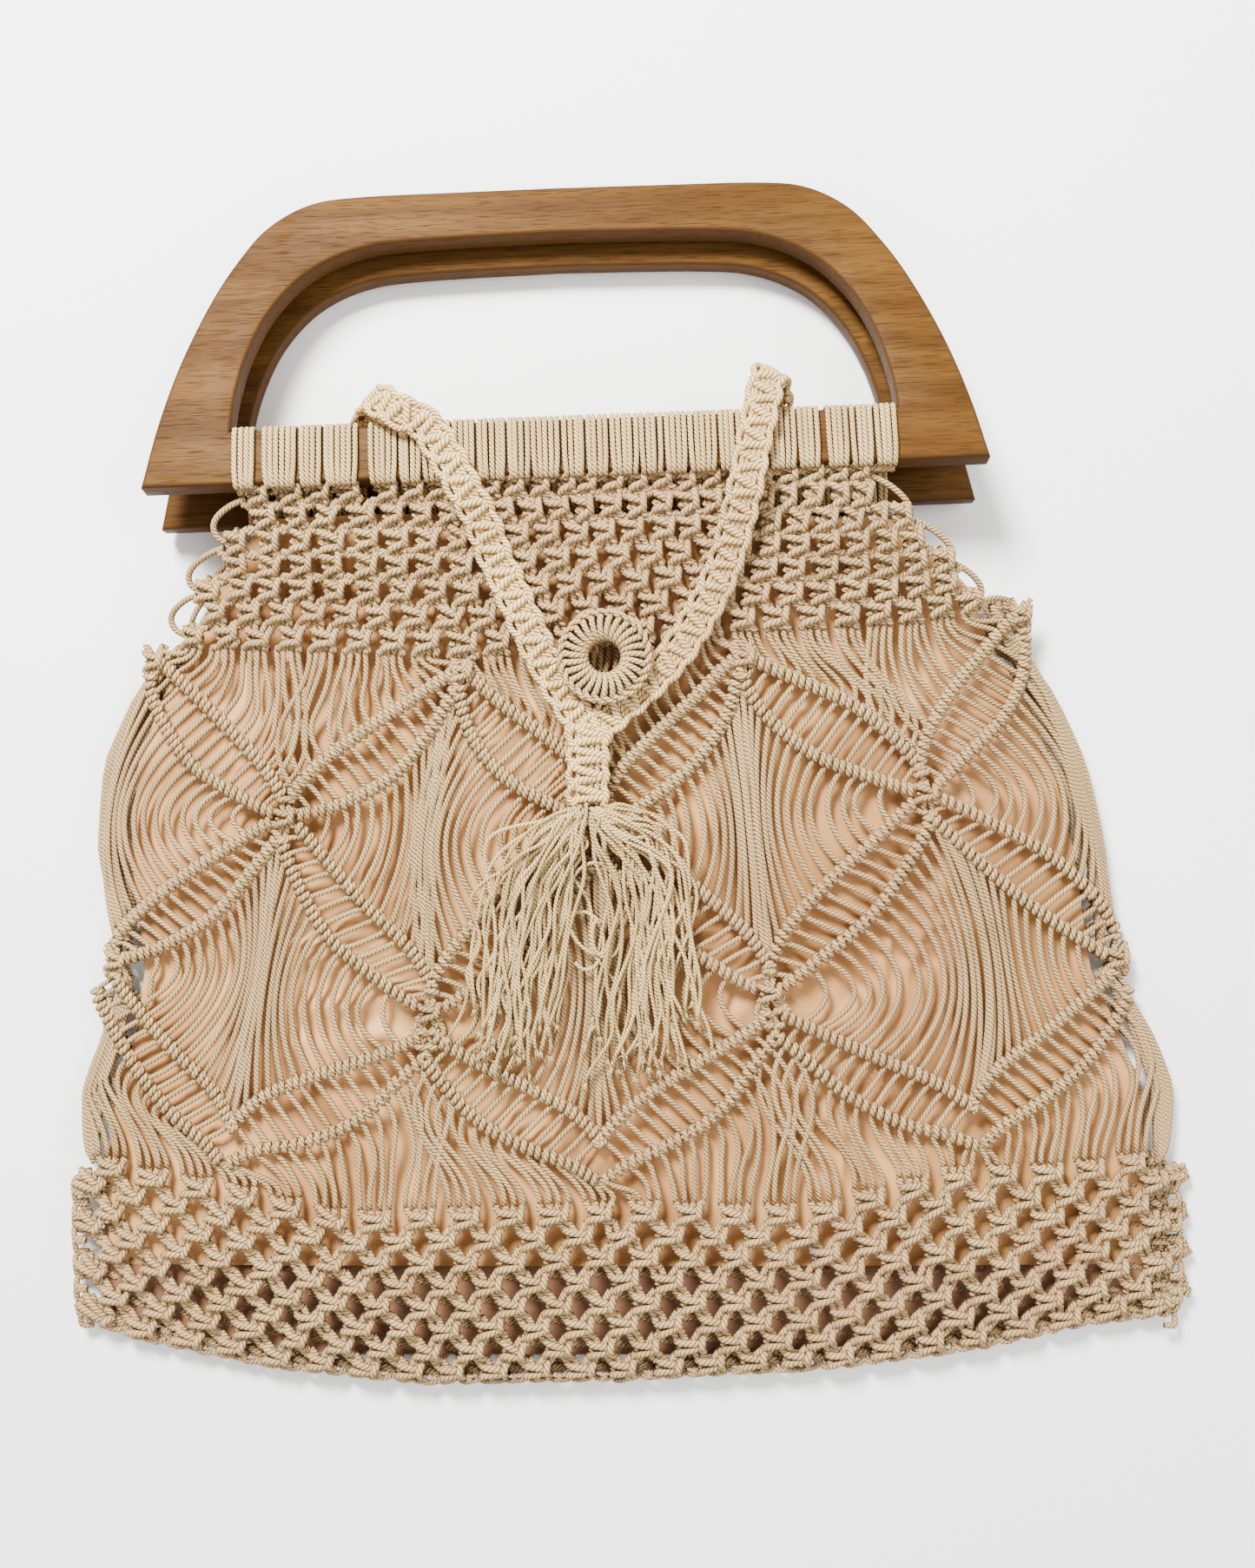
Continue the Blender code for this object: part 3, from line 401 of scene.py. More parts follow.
def smooth(points, steps):
    """Smooth curves through rows of points, steps to each stretch."""
    p = np.asarray(points, float)
    if steps == 1:
        return p
    p = np.concatenate([2 * p[:, :1] - p[:, 1:2], p, 2 * p[:, -1:] - p[:, -2:-1]], axis=1)
    a, b, c, d = p[:, :-3, None], p[:, 1:-2, None], p[:, 2:-1, None], p[:, 3:, None]
    t = (np.arange(steps) / steps)[None, None, :, None]
    curve = 0.5 * (2 * b + (c - a) * t + (2 * a - 5 * b + 4 * c - d) * t ** 2
                   + (3 * b - a - 3 * c + d) * t ** 3)
    curve = curve.reshape(len(p), -1, p.shape[2])
    return np.concatenate([curve, p[:, -2:-1]], axis=1)


def unit(v):
    """Vectors brought to length 1."""
    return v / np.maximum(np.linalg.norm(v, axis=-1, keepdims=True), 1e-12)


class Cords:
    """Round cords gathered into one mesh, each with its own tint and the lay of its twist."""

    def __init__(self, seed, sides=6):
        self.sides = sides
        self.draw = np.random.default_rng(seed)
        self.points, self.quads, self.caps = [], [], []
        self.lays, self.tints, self.count = [], [], 0

    def add(self, paths, radius, steps=1, tint=None):
        """Tubes along paths of as many points each; radius is one number or one for each point."""
        paths = np.asarray(paths, float)
        if paths.ndim == 2:
            paths = paths[None]
        paths = smooth(paths, steps)
        many, long = paths.shape[:2]
        if np.ndim(radius) == 1:
            spots = np.linspace(0, 1, len(radius))
            radius = np.interp(np.linspace(0, 1, long), spots, radius)
        radius = np.broadcast_to(radius, (many, long))
        ahead = unit(np.gradient(paths, axis=1))
        up = np.where(np.abs(ahead[:, 0, 2:3]) > 0.9, [[0.0, 1.0, 0.0]], [[0.0, 0.0, 1.0]])
        across = np.empty_like(paths)
        for i in range(long):
            last = up if i == 0 else across[:, i - 1]
            across[:, i] = unit(last - ahead[:, i] * (last * ahead[:, i]).sum(1, keepdims=True))
        side = np.cross(ahead, across)
        turn = 2 * np.pi * np.arange(self.sides) / self.sides
        ring = (across[:, :, None] * np.cos(turn)[:, None] + side[:, :, None] * np.sin(turn)[:, None])
        ring = paths[:, :, None] + ring * radius[..., None, None]
        run = np.linalg.norm(np.diff(paths, axis=1), axis=2)
        run = np.concatenate([np.zeros((many, 1)), np.cumsum(run, axis=1)], axis=1)
        run = run + self.draw.uniform(0, 0.01, (many, 1))
        first = self.count + np.arange(many)[:, None, None] * long * self.sides
        i = np.arange(long - 1)[None, :, None] * self.sides
        k = np.arange(self.sides)[None, None, :]
        j = (k + 1) % self.sides
        quads = np.stack([first + i + k, first + i + j,
                          first + i + self.sides + j, first + i + self.sides + k], axis=-1)
        u0 = np.broadcast_to(k / self.sides, quads.shape[:3])
        v0 = np.broadcast_to(run[:, :-1, None], quads.shape[:3])
        v1 = np.broadcast_to(run[:, 1:, None], quads.shape[:3])
        u1 = u0 + 1 / self.sides
        lay = np.stack([np.stack([u0, v0], -1), np.stack([u1, v0], -1),
                        np.stack([u1, v1], -1), np.stack([u0, v1], -1)], axis=-2)
        start = first[:, 0] + np.arange(self.sides)[::-1]
        end = first[:, 0] + (long - 1) * self.sides + np.arange(self.sides)
        self.points.append(ring.reshape(-1, 3))
        self.quads.append((quads.reshape(-1, 4), lay.reshape(-1, 4, 2)))
        self.caps.append(np.concatenate([start, end]))
        if tint is None:
            tint = self.draw.uniform(0, 1, many)
        tint = np.broadcast_to(tint, (many,))
        self.tints.append(np.repeat(tint, long * self.sides))
        self.count += many * long * self.sides

    def piece(self, name, material, slot, *nodes):
        """The mesh of all the cords, riding on the bag and standing for the given solids."""
        points = np.concatenate(self.points) + ORIGIN
        quads = np.concatenate([q for q, _ in self.quads])
        caps = np.concatenate(self.caps)
        lay = np.concatenate([u for _, u in self.quads]).reshape(-1, 2)
        lay = np.concatenate([lay, np.zeros((caps.size, 2))])
        mesh = bpy.data.meshes.new(name)
        mesh.vertices.add(len(points))
        mesh.vertices.foreach_set("co", points.astype(np.float32).ravel())
        mesh.loops.add(quads.size + caps.size)
        mesh.loops.foreach_set("vertex_index", np.concatenate([quads.ravel(), caps.ravel()]))
        mesh.polygons.add(len(quads) + len(caps))
        starts = np.concatenate([np.arange(len(quads)) * 4,
                                 quads.size + np.arange(len(caps)) * self.sides])
        mesh.polygons.foreach_set("loop_start", starts)
        mesh.polygons.foreach_set("use_smooth", np.ones(len(starts), bool))
        mesh.update()
        uv = mesh.uv_layers.new(name="lay")
        uv.data.foreach_set("uv", lay.astype(np.float32).ravel())
        tint = mesh.attributes.new("tint", "FLOAT", "POINT")
        tint.data.foreach_set("value", np.concatenate(self.tints).astype(np.float32))
        mesh.materials.append(material)
        return settle(bpy.data.objects.new(name, mesh), slot, *nodes)


def settle(obj, slot, *nodes):
    """Puts a finished piece in the scene, on the bag's body."""
    bpy.context.scene.collection.objects.link(obj)
    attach(obj, "root")
    if nodes:
        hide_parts(*nodes)
    return obj


class Side:
    """Heights of one knotted panel: lift is measured outward from the cords' own bed."""

    def __init__(self, back):
        self.back = back
        self.flatten = 0.55 if back else 0.82
        self.outward = -1 if back else 1

    def bed(self, xy):
        return back_top(xy) - WALL + 0.0026 if self.back else front_top(xy) - 0.0019

    def lay(self, xy, lift):
        xy = np.asarray(xy, float)
        z = self.bed(xy) + self.outward * self.flatten * np.broadcast_to(lift, xy.shape[:-1])
        return raised(xy, z)


# One square knot, in cord widths from its middle: across, up the bag, outward
TURNING_CORD = np.array((
    (-1.75, 1.30, 0.15), (-1.25, 1.02, 0.80), (-0.35, 0.82, 1.10), (0.60, 0.58, 1.00),
    (1.35, 0.30, 0.40), (1.62, 0.00, 0.05), (1.35, -0.32, 0.40), (0.60, -0.58, 1.00),
    (-0.35, -0.78, 1.10), (-1.20, -1.00, 0.85), (-1.75, -1.38, 0.20),
))
LOCKING_CORD = np.array((
    (1.80, 1.42, 0.25), (1.72, 0.98, 0.95), (1.58, 0.36, 1.50), (1.52, -0.34, 1.48),
    (1.30, -0.80, 0.40), (0.40, -0.30, -0.80), (-0.90, 0.12, -0.80), (-1.55, 0.00, -0.20),
    (-0.80, -0.35, -0.80), (0.75, -0.72, -0.70), (1.50, -1.05, 0.30), (1.80, -1.42, 0.30),
))
CORE_CORD = np.array(((-0.42, 0.95, -0.20), (-0.45, 0.00, 0.00), (-0.42, -0.95, -0.20)))


def square_knots(cords, side, centres, angles, sizes, ends, steps=2, tail=0.0, thick=0.55):
    """Square knots at plan places. ends holds eight plan places for each knot: where the turning
    cord, the locking cord and the left and right core cords come in, then where they go out.
    tail is the height at which they go out, thick the radius in cord widths."""
    turn = np.stack([np.cos(angles), np.sin(angles)], axis=-1)
    jitter = cords.draw.normal(0, 0.05, (len(centres), 2, 2))

    def shaped(shape, flip=1):
        local = shape[None, :, :2] * [flip, 1] * sizes[:, None, :] * CORD
        local = local + np.einsum("nd,kde->kne", shape[:, :2], jitter) * CORD
        x = local[..., 0] * turn[:, None, 0] - local[..., 1] * turn[:, None, 1]
        y = local[..., 0] * turn[:, None, 1] + local[..., 1] * turn[:, None, 0]
        return centres[:, None] + np.stack([x, y], -1), shape[:, 2] * CORD

    runs = ((TURNING_CORD, 1, 0), (LOCKING_CORD, 1, 1), (CORE_CORD, 1, 2), (CORE_CORD, -1, 3))
    for shape, flip, place in runs:
        xy, lift = shaped(shape, flip)
        xy = np.concatenate([ends[:, place, None], xy, ends[:, place + 4, None]], axis=1)
        lift = np.concatenate([[0.0], lift, [tail]])
        cords.add(side.lay(xy, lift), CORD * (thick if place < 2 else thick * 0.9),
                  steps if place < 2 else 1)


class Band:
    """A lattice of alternating square knots between two lines, columns across and rows down.
    starts packs the top row as the bar's wraps do, and shift moves every knot by part of a column."""

    def __init__(self, columns, rows, top, bottom, inset, starts=None, shift=0.0):
        self.columns, self.rows = columns, rows
        self.top, self.bottom = top, bottom
        self.inset, self.starts, self.shift = inset, starts, shift

    def spot(self, column, row):
        """Plan place of a lattice spot; knots stand at whole columns of the even rows."""
        share = np.clip((row + 0.5) / self.rows, -0.2, 1.2)
        even = (column + self.shift + 0.5) / self.columns
        if self.starts is not None:
            last = self.columns - 1
            packed = np.interp(column, np.arange(self.columns), self.starts)
            packed = packed + (np.minimum(0, column) + np.maximum(0, column - last)) / self.columns
            lean = np.clip(share * 1.6, 0, 1)
            even = packed * (1 - lean) + even * lean
        across = -0.9 + 1.8 * even
        for _ in range(3):
            down = self.top(across) + (self.bottom(across) - self.top(across)) * share
            left = table(SIDES, 1, down) + self.inset / HALF_WIDTH
            right = table(SIDES, 2, down) - (self.inset + RIGHT_INSET) / HALF_WIDTH
            across = left + (right - left) * even
        return plan(across, down)

    def pitch(self, column, row):
        return (self.spot(column + 0.5, row) - self.spot(column - 0.5, row))[:, 0]

    def row_columns(self, row):
        """Columns of a row's knots; a band round the fold has a knot on it in the odd rows."""
        odd = row % 2
        if odd and self.starts is None:
            return np.arange(self.columns + 1) - 0.5
        return np.arange(self.columns - odd) + 0.5 * odd

    def knots(self, cords, side, steps, width, height, heads=None, tail=0.0, thick=0.55):
        """All the knots with the cords that link them."""
        for row in range(self.rows):
            column = self.row_columns(row)
            last = row == self.rows - 1
            centre = self.spot(column, row)
            up = heads if heads is not None and row == 0 else self.links(column, row, -1)
            down = self.links(column, row, 1)
            ends = np.stack([up[0], up[3], up[1], up[2], down[0], down[3], down[1], down[2]], axis=1)
            ahead = self.spot(column + 0.3, row) - self.spot(column - 0.3, row)
            fall = np.linalg.norm(self.spot(column, row + 0.5) - self.spot(column, row - 0.5), axis=1)
            sizes = np.stack([width * np.linalg.norm(ahead, axis=1) / 0.6, height * fall], axis=1)
            angles = np.arctan2(ahead[:, 1], ahead[:, 0]) + cords.draw.normal(0, 0.09, len(column))
            sizes = sizes / (4 * CORD) * cords.draw.normal(1, 0.05, sizes.shape)
            if tail and last:
                ends[:, 4:] += (centre[:, None] - ends[:, 4:]) * 0.35
            centre = centre + cords.draw.normal(0, 0.0003, centre.shape)
            square_knots(cords, side, centre, angles, sizes, ends, steps, tail * last, thick)

    def links(self, column, row, way):
        """Four places above or below each knot, left to right, half way to the next row's knots."""
        edge = row + way < 0 or row + way >= self.rows
        if edge:
            middle, pitch = self.spot(column, row + 0.5 * way), self.pitch(column, row)
            shares = (-0.32, -0.11, 0.11, 0.32)
            return [middle + np.stack([s * pitch, np.zeros(len(pitch))], -1) for s in shares]
        out = []
        for part, outer in ((-1, True), (-1, False), (1, False), (1, True)):
            beside = np.clip(column + 0.25 * part, -0.56, self.columns - 0.44)
            middle = self.spot(beside, row + 0.5 * way)
            low = outer if way < 0 else not outer
            offset = [0.45 * CORD * part * (1 if outer else -1), (-0.45 if low else 0.45) * CORD]
            out.append(middle + np.array(offset))
        return out

    def edge_loops(self, cords, side, swings):
        """Cords that skip two rows at the two sides, in loops that stand off the knots."""
        t = np.linspace(0, 1, 11)
        for end, way, swing in ((0, -1, swings[0]), (self.columns - 1, 1, swings[1])):
            for row in range(0, self.rows - 2, 2):
                a = self.spot(np.array([end + 0.35 * way]), row + 0.15)[0]
                c = self.spot(np.array([end + 0.35 * way]), row + 1.95)[0]
                path = a + (c - a) * t[:, None]
                path[:, 0] += way * swing * np.sin(np.pi * t) ** 0.7
                cords.add(side.lay(path, -0.0008), CORD * 0.52, 2)


def bar_bottom(back, across):
    """Distance down at which the cords leave the bar's wraps."""
    foot = place_with(handle_matrix(back), np.array([[-0.119, -WRAP, 0.0], [0.119, -WRAP, 0.0]]))
    y = np.interp(np.asarray(across) * HALF_WIDTH, foot[:, 0], foot[:, 1])
    return (BODY_TOP - y) / BODY_LENGTH


def wrap_places():
    """Places of the turns along the bar, and the middle of each group, from its left end."""
    turns, middles, at = [], [], 0.0
    for count, bare in WRAP_GROUPS:
        places = at + WRAP_PITCH * (np.arange(count) + 0.5)
        turns.append(places)
        middles.append(places.mean())
        at = places[-1] + WRAP_PITCH / 2 + bare / 1000
    width = 2 * (OPENING_HALF_WIDTH - 3 * GAP)
    scale = width / at
    return [t * scale - width / 2 for t in turns], np.array(middles) * scale - width / 2


class Leaf:
    """Two bars between two knots with short cords across, as plan curves."""

    def __init__(self, row):
        upper_knot, lower_knot, *offs = row
        self.names = upper_knot, lower_knot
        (kind_a, *a), (kind_b, *b) = NODES[upper_knot], NODES[lower_knot]
        self.a, self.b = plan(*a), plan(*b)
        chord = self.b - self.a
        normal = np.array([-chord[1], chord[0]]) / np.linalg.norm(chord)
        self.up = normal if normal[1] > 0 else -normal
        self.curves = []
        for which, off in enumerate(offs):
            start, end = LEAF_STARTS[kind_a][which], LEAF_ENDS[kind_b][which]
            at = np.array([start[0], *LEAF_PLACES, end[0]])
            off = np.array([start[1], *off, end[1]]) / 1000
            line = self.a + chord * at[:, None] + self.up * off[:, None]
            self.curves.append((smooth(line[None], 6)[0], smooth(at[None, :, None], 6)[0, :, 0]))

    def on(self, which, share):
        """Places on the upper (0) or lower (1) bar at shares along the leaf."""
        curve, at = self.curves[which]
        return np.stack([np.interp(share, at, curve[:, i]) for i in (0, 1)], axis=-1)

    def shares(self, which):
        """Where the cords cross a bar, as shares from the upper knot; they keep off the stars."""
        star = NODES[self.names[which]][0] in ("star", "fold")
        if which == 0 and star:
            return np.linspace(0.11, 0.94, LEAF_CORDS)
        if which == 1 and not star:
            return np.linspace(0.10, 0.93, LEAF_CORDS)
        return np.linspace(0.06, 0.89, LEAF_CORDS)

    def along(self, which, share):
        return unit(self.on(which, share + 0.01) - self.on(which, share - 0.01))


def leaf_bars(cords, side, leaf, fine):
    """Both bars: a core cord under a row of double half hitches, two bumps for each cord."""
    for which in (0, 1):
        curve, at = leaf.curves[which]
        cords.add(side.lay(curve[::2] if fine else curve[::4], 0.0), CORD * 0.42, 1)
        bumps = 2 * LEAF_CORDS + 2
        share = np.linspace(at[0] + 0.012, at[-1] - 0.012, bumps)
        share = share + cords.draw.normal(0, 0.0008, bumps)
        share[::2] += 0.0022
        middle, ahead = leaf.on(which, share), leaf.along(which, share)
        across = np.stack([-ahead[:, 1], ahead[:, 0]], axis=-1)
        across = across * np.sign((across * leaf.up).sum(1, keepdims=True))
        turns = np.radians(np.linspace(-38, 218, 8 if fine else 5))
        reach = CORD * 0.74 * np.cos(turns)[None, :, None]
        lean = CORD * 0.30 * np.linspace(-1, 1, len(turns))[None, :, None]
        xy = middle[:, None] + across[:, None] * reach + ahead[:, None] * lean
        lift = CORD * (0.08 + 0.72 * np.sin(turns))
        cords.add(side.lay(xy, lift[None, :]), CORD * 0.54)


def leaf_cords(cords, side, leaf, fine):
    """Short cords across a leaf, nearly square to it."""
    a, b = leaf.on(0, leaf.shares(0)), leaf.on(1, leaf.shares(1))
    middle = (a + b) / 2 + cords.draw.normal(0, 0.0003, a.shape)
    cords.add(side.lay(np.stack([a, middle, b], 1), [0.0, -0.0007, 0.0]), LOOSE_RADIUS,
              2 if fine else 1)


def bezier(a, b, c, d, count):
    """Curves from a to d, drawn towards b and c."""
    t = np.linspace(0, 1, count)[None, :, None]
    a, b, c, d = (p[:, None] for p in (a, b, c, d))
    return a * (1 - t) ** 3 + 3 * b * t * (1 - t) ** 2 + 3 * c * t * t * (1 - t) + d * t ** 3


def loose_round_star(cords, side, above, below, star, way, count):
    """Loose cords that swing round a star, from the leaf above it to the leaf below it."""
    a, b = above.on(1, above.shares(1)[::-1]), below.on(0, below.shares(0))
    knot = plan(*NODES[star][1:])
    for start, rise in ((a[0], 1), (b[0], -1)):
        tip = knot + [way * 0.0030, rise * 0.0022]
        loop = np.stack([start, (start + tip) / 2 + [way * 0.0020, rise * 0.0006], tip])
        cords.add(side.lay(loop, 0.0), CORD * 0.5, 4 if count > 10 else 2)
    middle = knot[0]
    edge = MIDLINES[star, way] * HALF_WIDTH
    a, b = a[1:], b[1:]
    reach = np.array(REACHES)[1:] + cords.draw.normal(0, 0.007, LEAF_CORDS - 1)
    want = middle + (edge - middle) * reach
    t = np.linspace(0, 1, count)
    bow = (4 * t * (1 - t))[None] * (want - (a[:, 0] + b[:, 0]) / 2)[:, None]
    path = a[:, None] + (b - a)[:, None] * t[None, :, None]
    path[..., 0] += bow
    path = inside(path, (LEAF_CORDS - 1 - np.arange(len(a))) * 0.0012)
    lift = -0.0005 + 0.0005 * cords.draw.normal(0, 1, (len(a), 1)) * np.sin(np.pi * t)[None]
    cords.add(side.lay(path, lift), CORD * 0.49)


def inside(path, spread):
    """Paths kept within the bag's two sides, each stopped a little further in than the last."""
    down = (BODY_TOP - path[..., 1]) / BODY_LENGTH
    room = 0.0024 + spread[:, None]
    left = table(SIDES, 1, down) * HALF_WIDTH + room
    right = table(SIDES, 2, down) * HALF_WIDTH - room
    path[..., 0] = np.minimum(np.maximum(path[..., 0], left), right)
    return path


def hanging(cords, side, spots, ends, way, count, slack):
    """Loose cords between band knots and a leaf's bar. way is the direction they meet the bar in."""
    far = np.linalg.norm(ends - spots, axis=1)[:, None]
    down = np.sign(ends[:, 1:] - spots[:, 1:]) * np.array([[0.0, 1.0]])
    swing = 0.30 + 0.22 * np.clip((far - 0.02) / 0.03, 0, 1)
    path = bezier(spots, spots + down * far * 0.42, ends - way * far * swing, ends, count)
    phase = cords.draw.uniform(0, 6.28, (len(spots), 1))
    t = np.linspace(0, 1, count)[None]
    wave = np.sin(phase + 5.5 * t) * np.sin(np.pi * t) * slack * np.minimum(1, far / 0.04)
    path[..., 0] += wave
    path = inside(path, np.arange(len(spots)) % 5 * 0.0016)
    lift = -0.0005 + 0.0007 * np.sin(np.pi * t) * cords.draw.normal(0, 1, (len(spots), 1))
    cords.add(side.lay(path, lift), LOOSE_RADIUS)


def band_spots(band, way, numbers):
    """Where numbered cords leave a band's first (-1) or last (1) row, four to a knot."""
    numbers = np.asarray(numbers)
    row = 0 if way < 0 else band.rows - 1
    places = np.stack(band.links((numbers // 4).astype(float), row, way), axis=1)
    return places[np.arange(len(numbers)), numbers % 4]


def upper_band():
    """The band under the bar; its top row's knots stand under the wraps' groups."""
    _, middles = wrap_places()
    starts = (middles + OPENING_HALF_WIDTH) / (2 * OPENING_HALF_WIDTH)
    return Band(BAND_COLUMNS, BAND_ROWS, lambda a: bar_bottom(False, a) - BAND_TUCK,
                lambda a: table(BAND_LINE, 1, a), BAND_INSET, starts)


def base_band(shift=0.0):
    """The base band's first row of knots stands on its line, its last at the hem."""
    def top(a):
        return table(BASE_LINE, 1, a) - BASE_RISE

    def bottom(a):
        return table(HEM, 1, a) - HEM_RISE

    return Band(BAND_COLUMNS, BASE_ROWS, top, bottom, BASE_INSET, shift=shift)


def star_knots(cords, side, leaves, steps):
    """Square knots of the leaves' core cords, with the small open diamonds above and below."""
    around = {}
    for leaf in leaves.values():
        upper, lower = leaf.names
        left_going = leaf.b[0] < leaf.a[0]
        around.setdefault(lower, {})["ur" if left_going else "ul"] = [
            leaf.on(0, 1.1), leaf.on(1, 1.1)]
        around.setdefault(upper, {})["ll" if left_going else "lr"] = [
            leaf.on(0, -0.1), leaf.on(1, -0.1)]
    centres, ends = [], []
    for name, (kind, across, down) in NODES.items():
        if kind == "foot":
            continue
        middle = plan(across, down)
        got = around[name]
        reach = 0.0052
        spare = {"ul": (-1, 1), "ur": (1, 1), "ll": (-1, -1), "lr": (1, -1)}
        for key, (sx, sy) in spare.items():
            if key not in got:
                tip = middle + [sx * reach * 0.7, sy * reach]
                got[key] = [tip + [0, 0.001], tip - [0, 0.001]]
        ends.append([got["ul"][1], got["ur"][1], got["ul"][0], got["ur"][0],
                     got["ll"][0], got["lr"][0], got["ll"][1], got["lr"][1]])
        centres.append(middle)
    centres, ends = np.array(centres), np.array(ends)
    sizes = np.tile([[0.86, 0.92]], (len(centres), 1))
    square_knots(cords, side, centres, np.zeros(len(centres)), sizes, ends, steps)


def pattern(cords, side, band, base, fine):
    """The open leaf pattern between the two bands."""
    leaves = {row[:2]: Leaf(row) for row in LEAVES}
    for leaf in leaves.values():
        leaf_bars(cords, side, leaf, fine)
        leaf_cords(cords, side, leaf, fine)
    star_knots(cords, side, leaves, 2 if fine else 1)
    count = 17 if fine else 8
    for star, (kind, *_) in NODES.items():
        if kind not in ("star", "fold"):
            continue
        over = {np.sign(l.a[0] - l.b[0]): l for l in leaves.values() if l.names[1] == star}
        under = {np.sign(l.b[0] - l.a[0]): l for l in leaves.values() if l.names[0] == star}
        for way in (-1, 1):
            if way in over and way in under:
                loose_round_star(cords, side, over[way], under[way], star, way, count)
    for bar, numbers, source, way in ((0, UPPER_CORDS, band, 1), (1, LOWER_CORDS, base, -1)):
        for names, first in numbers.items():
            leaf = leaves[names]
            spots = band_spots(source, way, first + np.arange(LEAF_CORDS))
            onto = leaf.shares(bar)[::1 if leaf.b[0] > leaf.a[0] else -1]
            hanging(cords, side, spots, leaf.on(bar, onto), -way * leaf.up, count, SLACK)
    for name, first, many in MEETING_CORDS:
        foot = name[0] == "V"
        spots = band_spots(base if foot else band, -1 if foot else 1, first + np.arange(many))
        tip = plan(*NODES[name][1:]) + [0, -0.0075 if foot else 0.0022]
        ends = tip + np.stack([(np.arange(many) - (many - 1) / 2) * 0.0018, np.zeros(many)], -1)
        meet = np.array([[0.0, 1.0 if foot else -1.0]])
        hanging(cords, side, spots, ends, meet, count, MEETING_SLACK)
    fold_cords(cords, side, count)


def fold_cords(cords, side, count):
    """Cords that run down each side fold, past the leaves of the other panel."""
    for column, way in ((1, -1), (2, 1)):
        for top, bottom in ((0.17 if way < 0 else 0.125, 0.50), (0.54, 0.75)):
            for k in range(6):
                down = np.linspace(top, bottom, count)
                pull = np.sin(np.linspace(0, np.pi, count)) ** 0.5
                inset = 0.0095 - (0.0075 - 0.0013 * k) * pull
                across = table(SIDES, column, down) - way * inset / HALF_WIDTH
                lift = np.full(count, -0.001 - 0.0004 * k)
                cords.add(side.lay(plan(across, down), lift), LOOSE_RADIUS)


def close_folds(cords):
    """Short cords that carry the net round its side folds and its bottom, from front to back."""
    front, back = Side(False), Side(True)
    places, outs = [], []
    for column, way in ((1, -1), (2, 1)):
        for down in np.linspace(0.775, 0.925, 12):
            places.append(plan(table(SIDES, column, down) - way * 0.0064 / HALF_WIDTH, down))
            outs.append([way * 0.0046, 0.0])
    for across in np.linspace(-0.955, 0.955, 4 * BAND_COLUMNS):
        places.append(plan(across, table(HEM, 1, across)) + [0, 0.0044])
        outs.append([0.0, -0.0034])
    places, outs = np.array(places), np.array(outs)
    lean = np.where(np.arange(len(places)) % 2, 1, -1)[:, None] * 0.55
    places = places - outs[:, ::-1] * lean
    skew = outs[:, ::-1] * lean * 2 + cords.draw.normal(0, 0.0005, places.shape)
    a = front.lay(places, 0.0006)
    d = back.lay(places + skew, 0.0)
    b = np.concatenate([places + outs * 0.9, a[:, 2:] * 0.8 + d[:, 2:] * 0.2], axis=1)
    c = np.concatenate([places + outs * 0.9 + skew, a[:, 2:] * 0.2 + d[:, 2:] * 0.8], axis=1)
    cords.add(np.stack([a, b, c, d], axis=1), CORD * 0.5, 3)


def wound_turns(cords, back, steps):
    """Each turn of cord round a bar, its lower end drawn in to its group's knot."""
    turns, middles = wrap_places()
    matrix = handle_matrix(back)
    half, up = BOARD_THICKNESS / 2 + CORD * 0.55, BAR_HEIGHT / 2 + CORD * 0.55
    ring = []
    for q, p in ((-1, 0.55), (-1, 1), (-0.5, 1), (0, 1), (0.5, 1), (1, 1), (1, 0), (1, -1),
                 (0.5, -1), (-0.5, -1), (-1, -1), (-1, -0.1)):
        ease = 0.90 if abs(q) == 1 and abs(p) == 1 else 1.0
        ring.append((q * up * ease, p * half * ease))
    ring = np.array(ring)
    outward = -1 if back else 1
    for places, middle in zip(turns, middles):
        draw_in = np.clip((-0.30 - ring[:, 0] / up) / 0.70, 0, 1) ** 1.5 * 0.14
        x = places[:, None] + (middle - places)[:, None] * draw_in[None]
        lean = cords.draw.normal(0, 0.00012, (len(places), 1))
        x = x + lean
        y = np.broadcast_to(ring[:, 0] + BAR_HEIGHT / 2, x.shape)
        z = np.broadcast_to(ring[:, 1] * outward, x.shape)
        cords.add(place_with(matrix, np.stack([x, y, z], axis=-1)), WRAP_RADIUS, steps)


def wrap_heads(back):
    """Four places for each group where its cords leave the bar, left to right."""
    _, middles = wrap_places()
    matrix = handle_matrix(back)
    out = []
    for k in (-1.5, -0.5, 0.5, 1.5):
        local = np.stack([middles + k * CORD * 0.85, np.full(len(middles), -0.0016),
                          np.zeros(len(middles))], axis=-1)
        out.append(place_with(matrix, local)[:, :2])
    return out


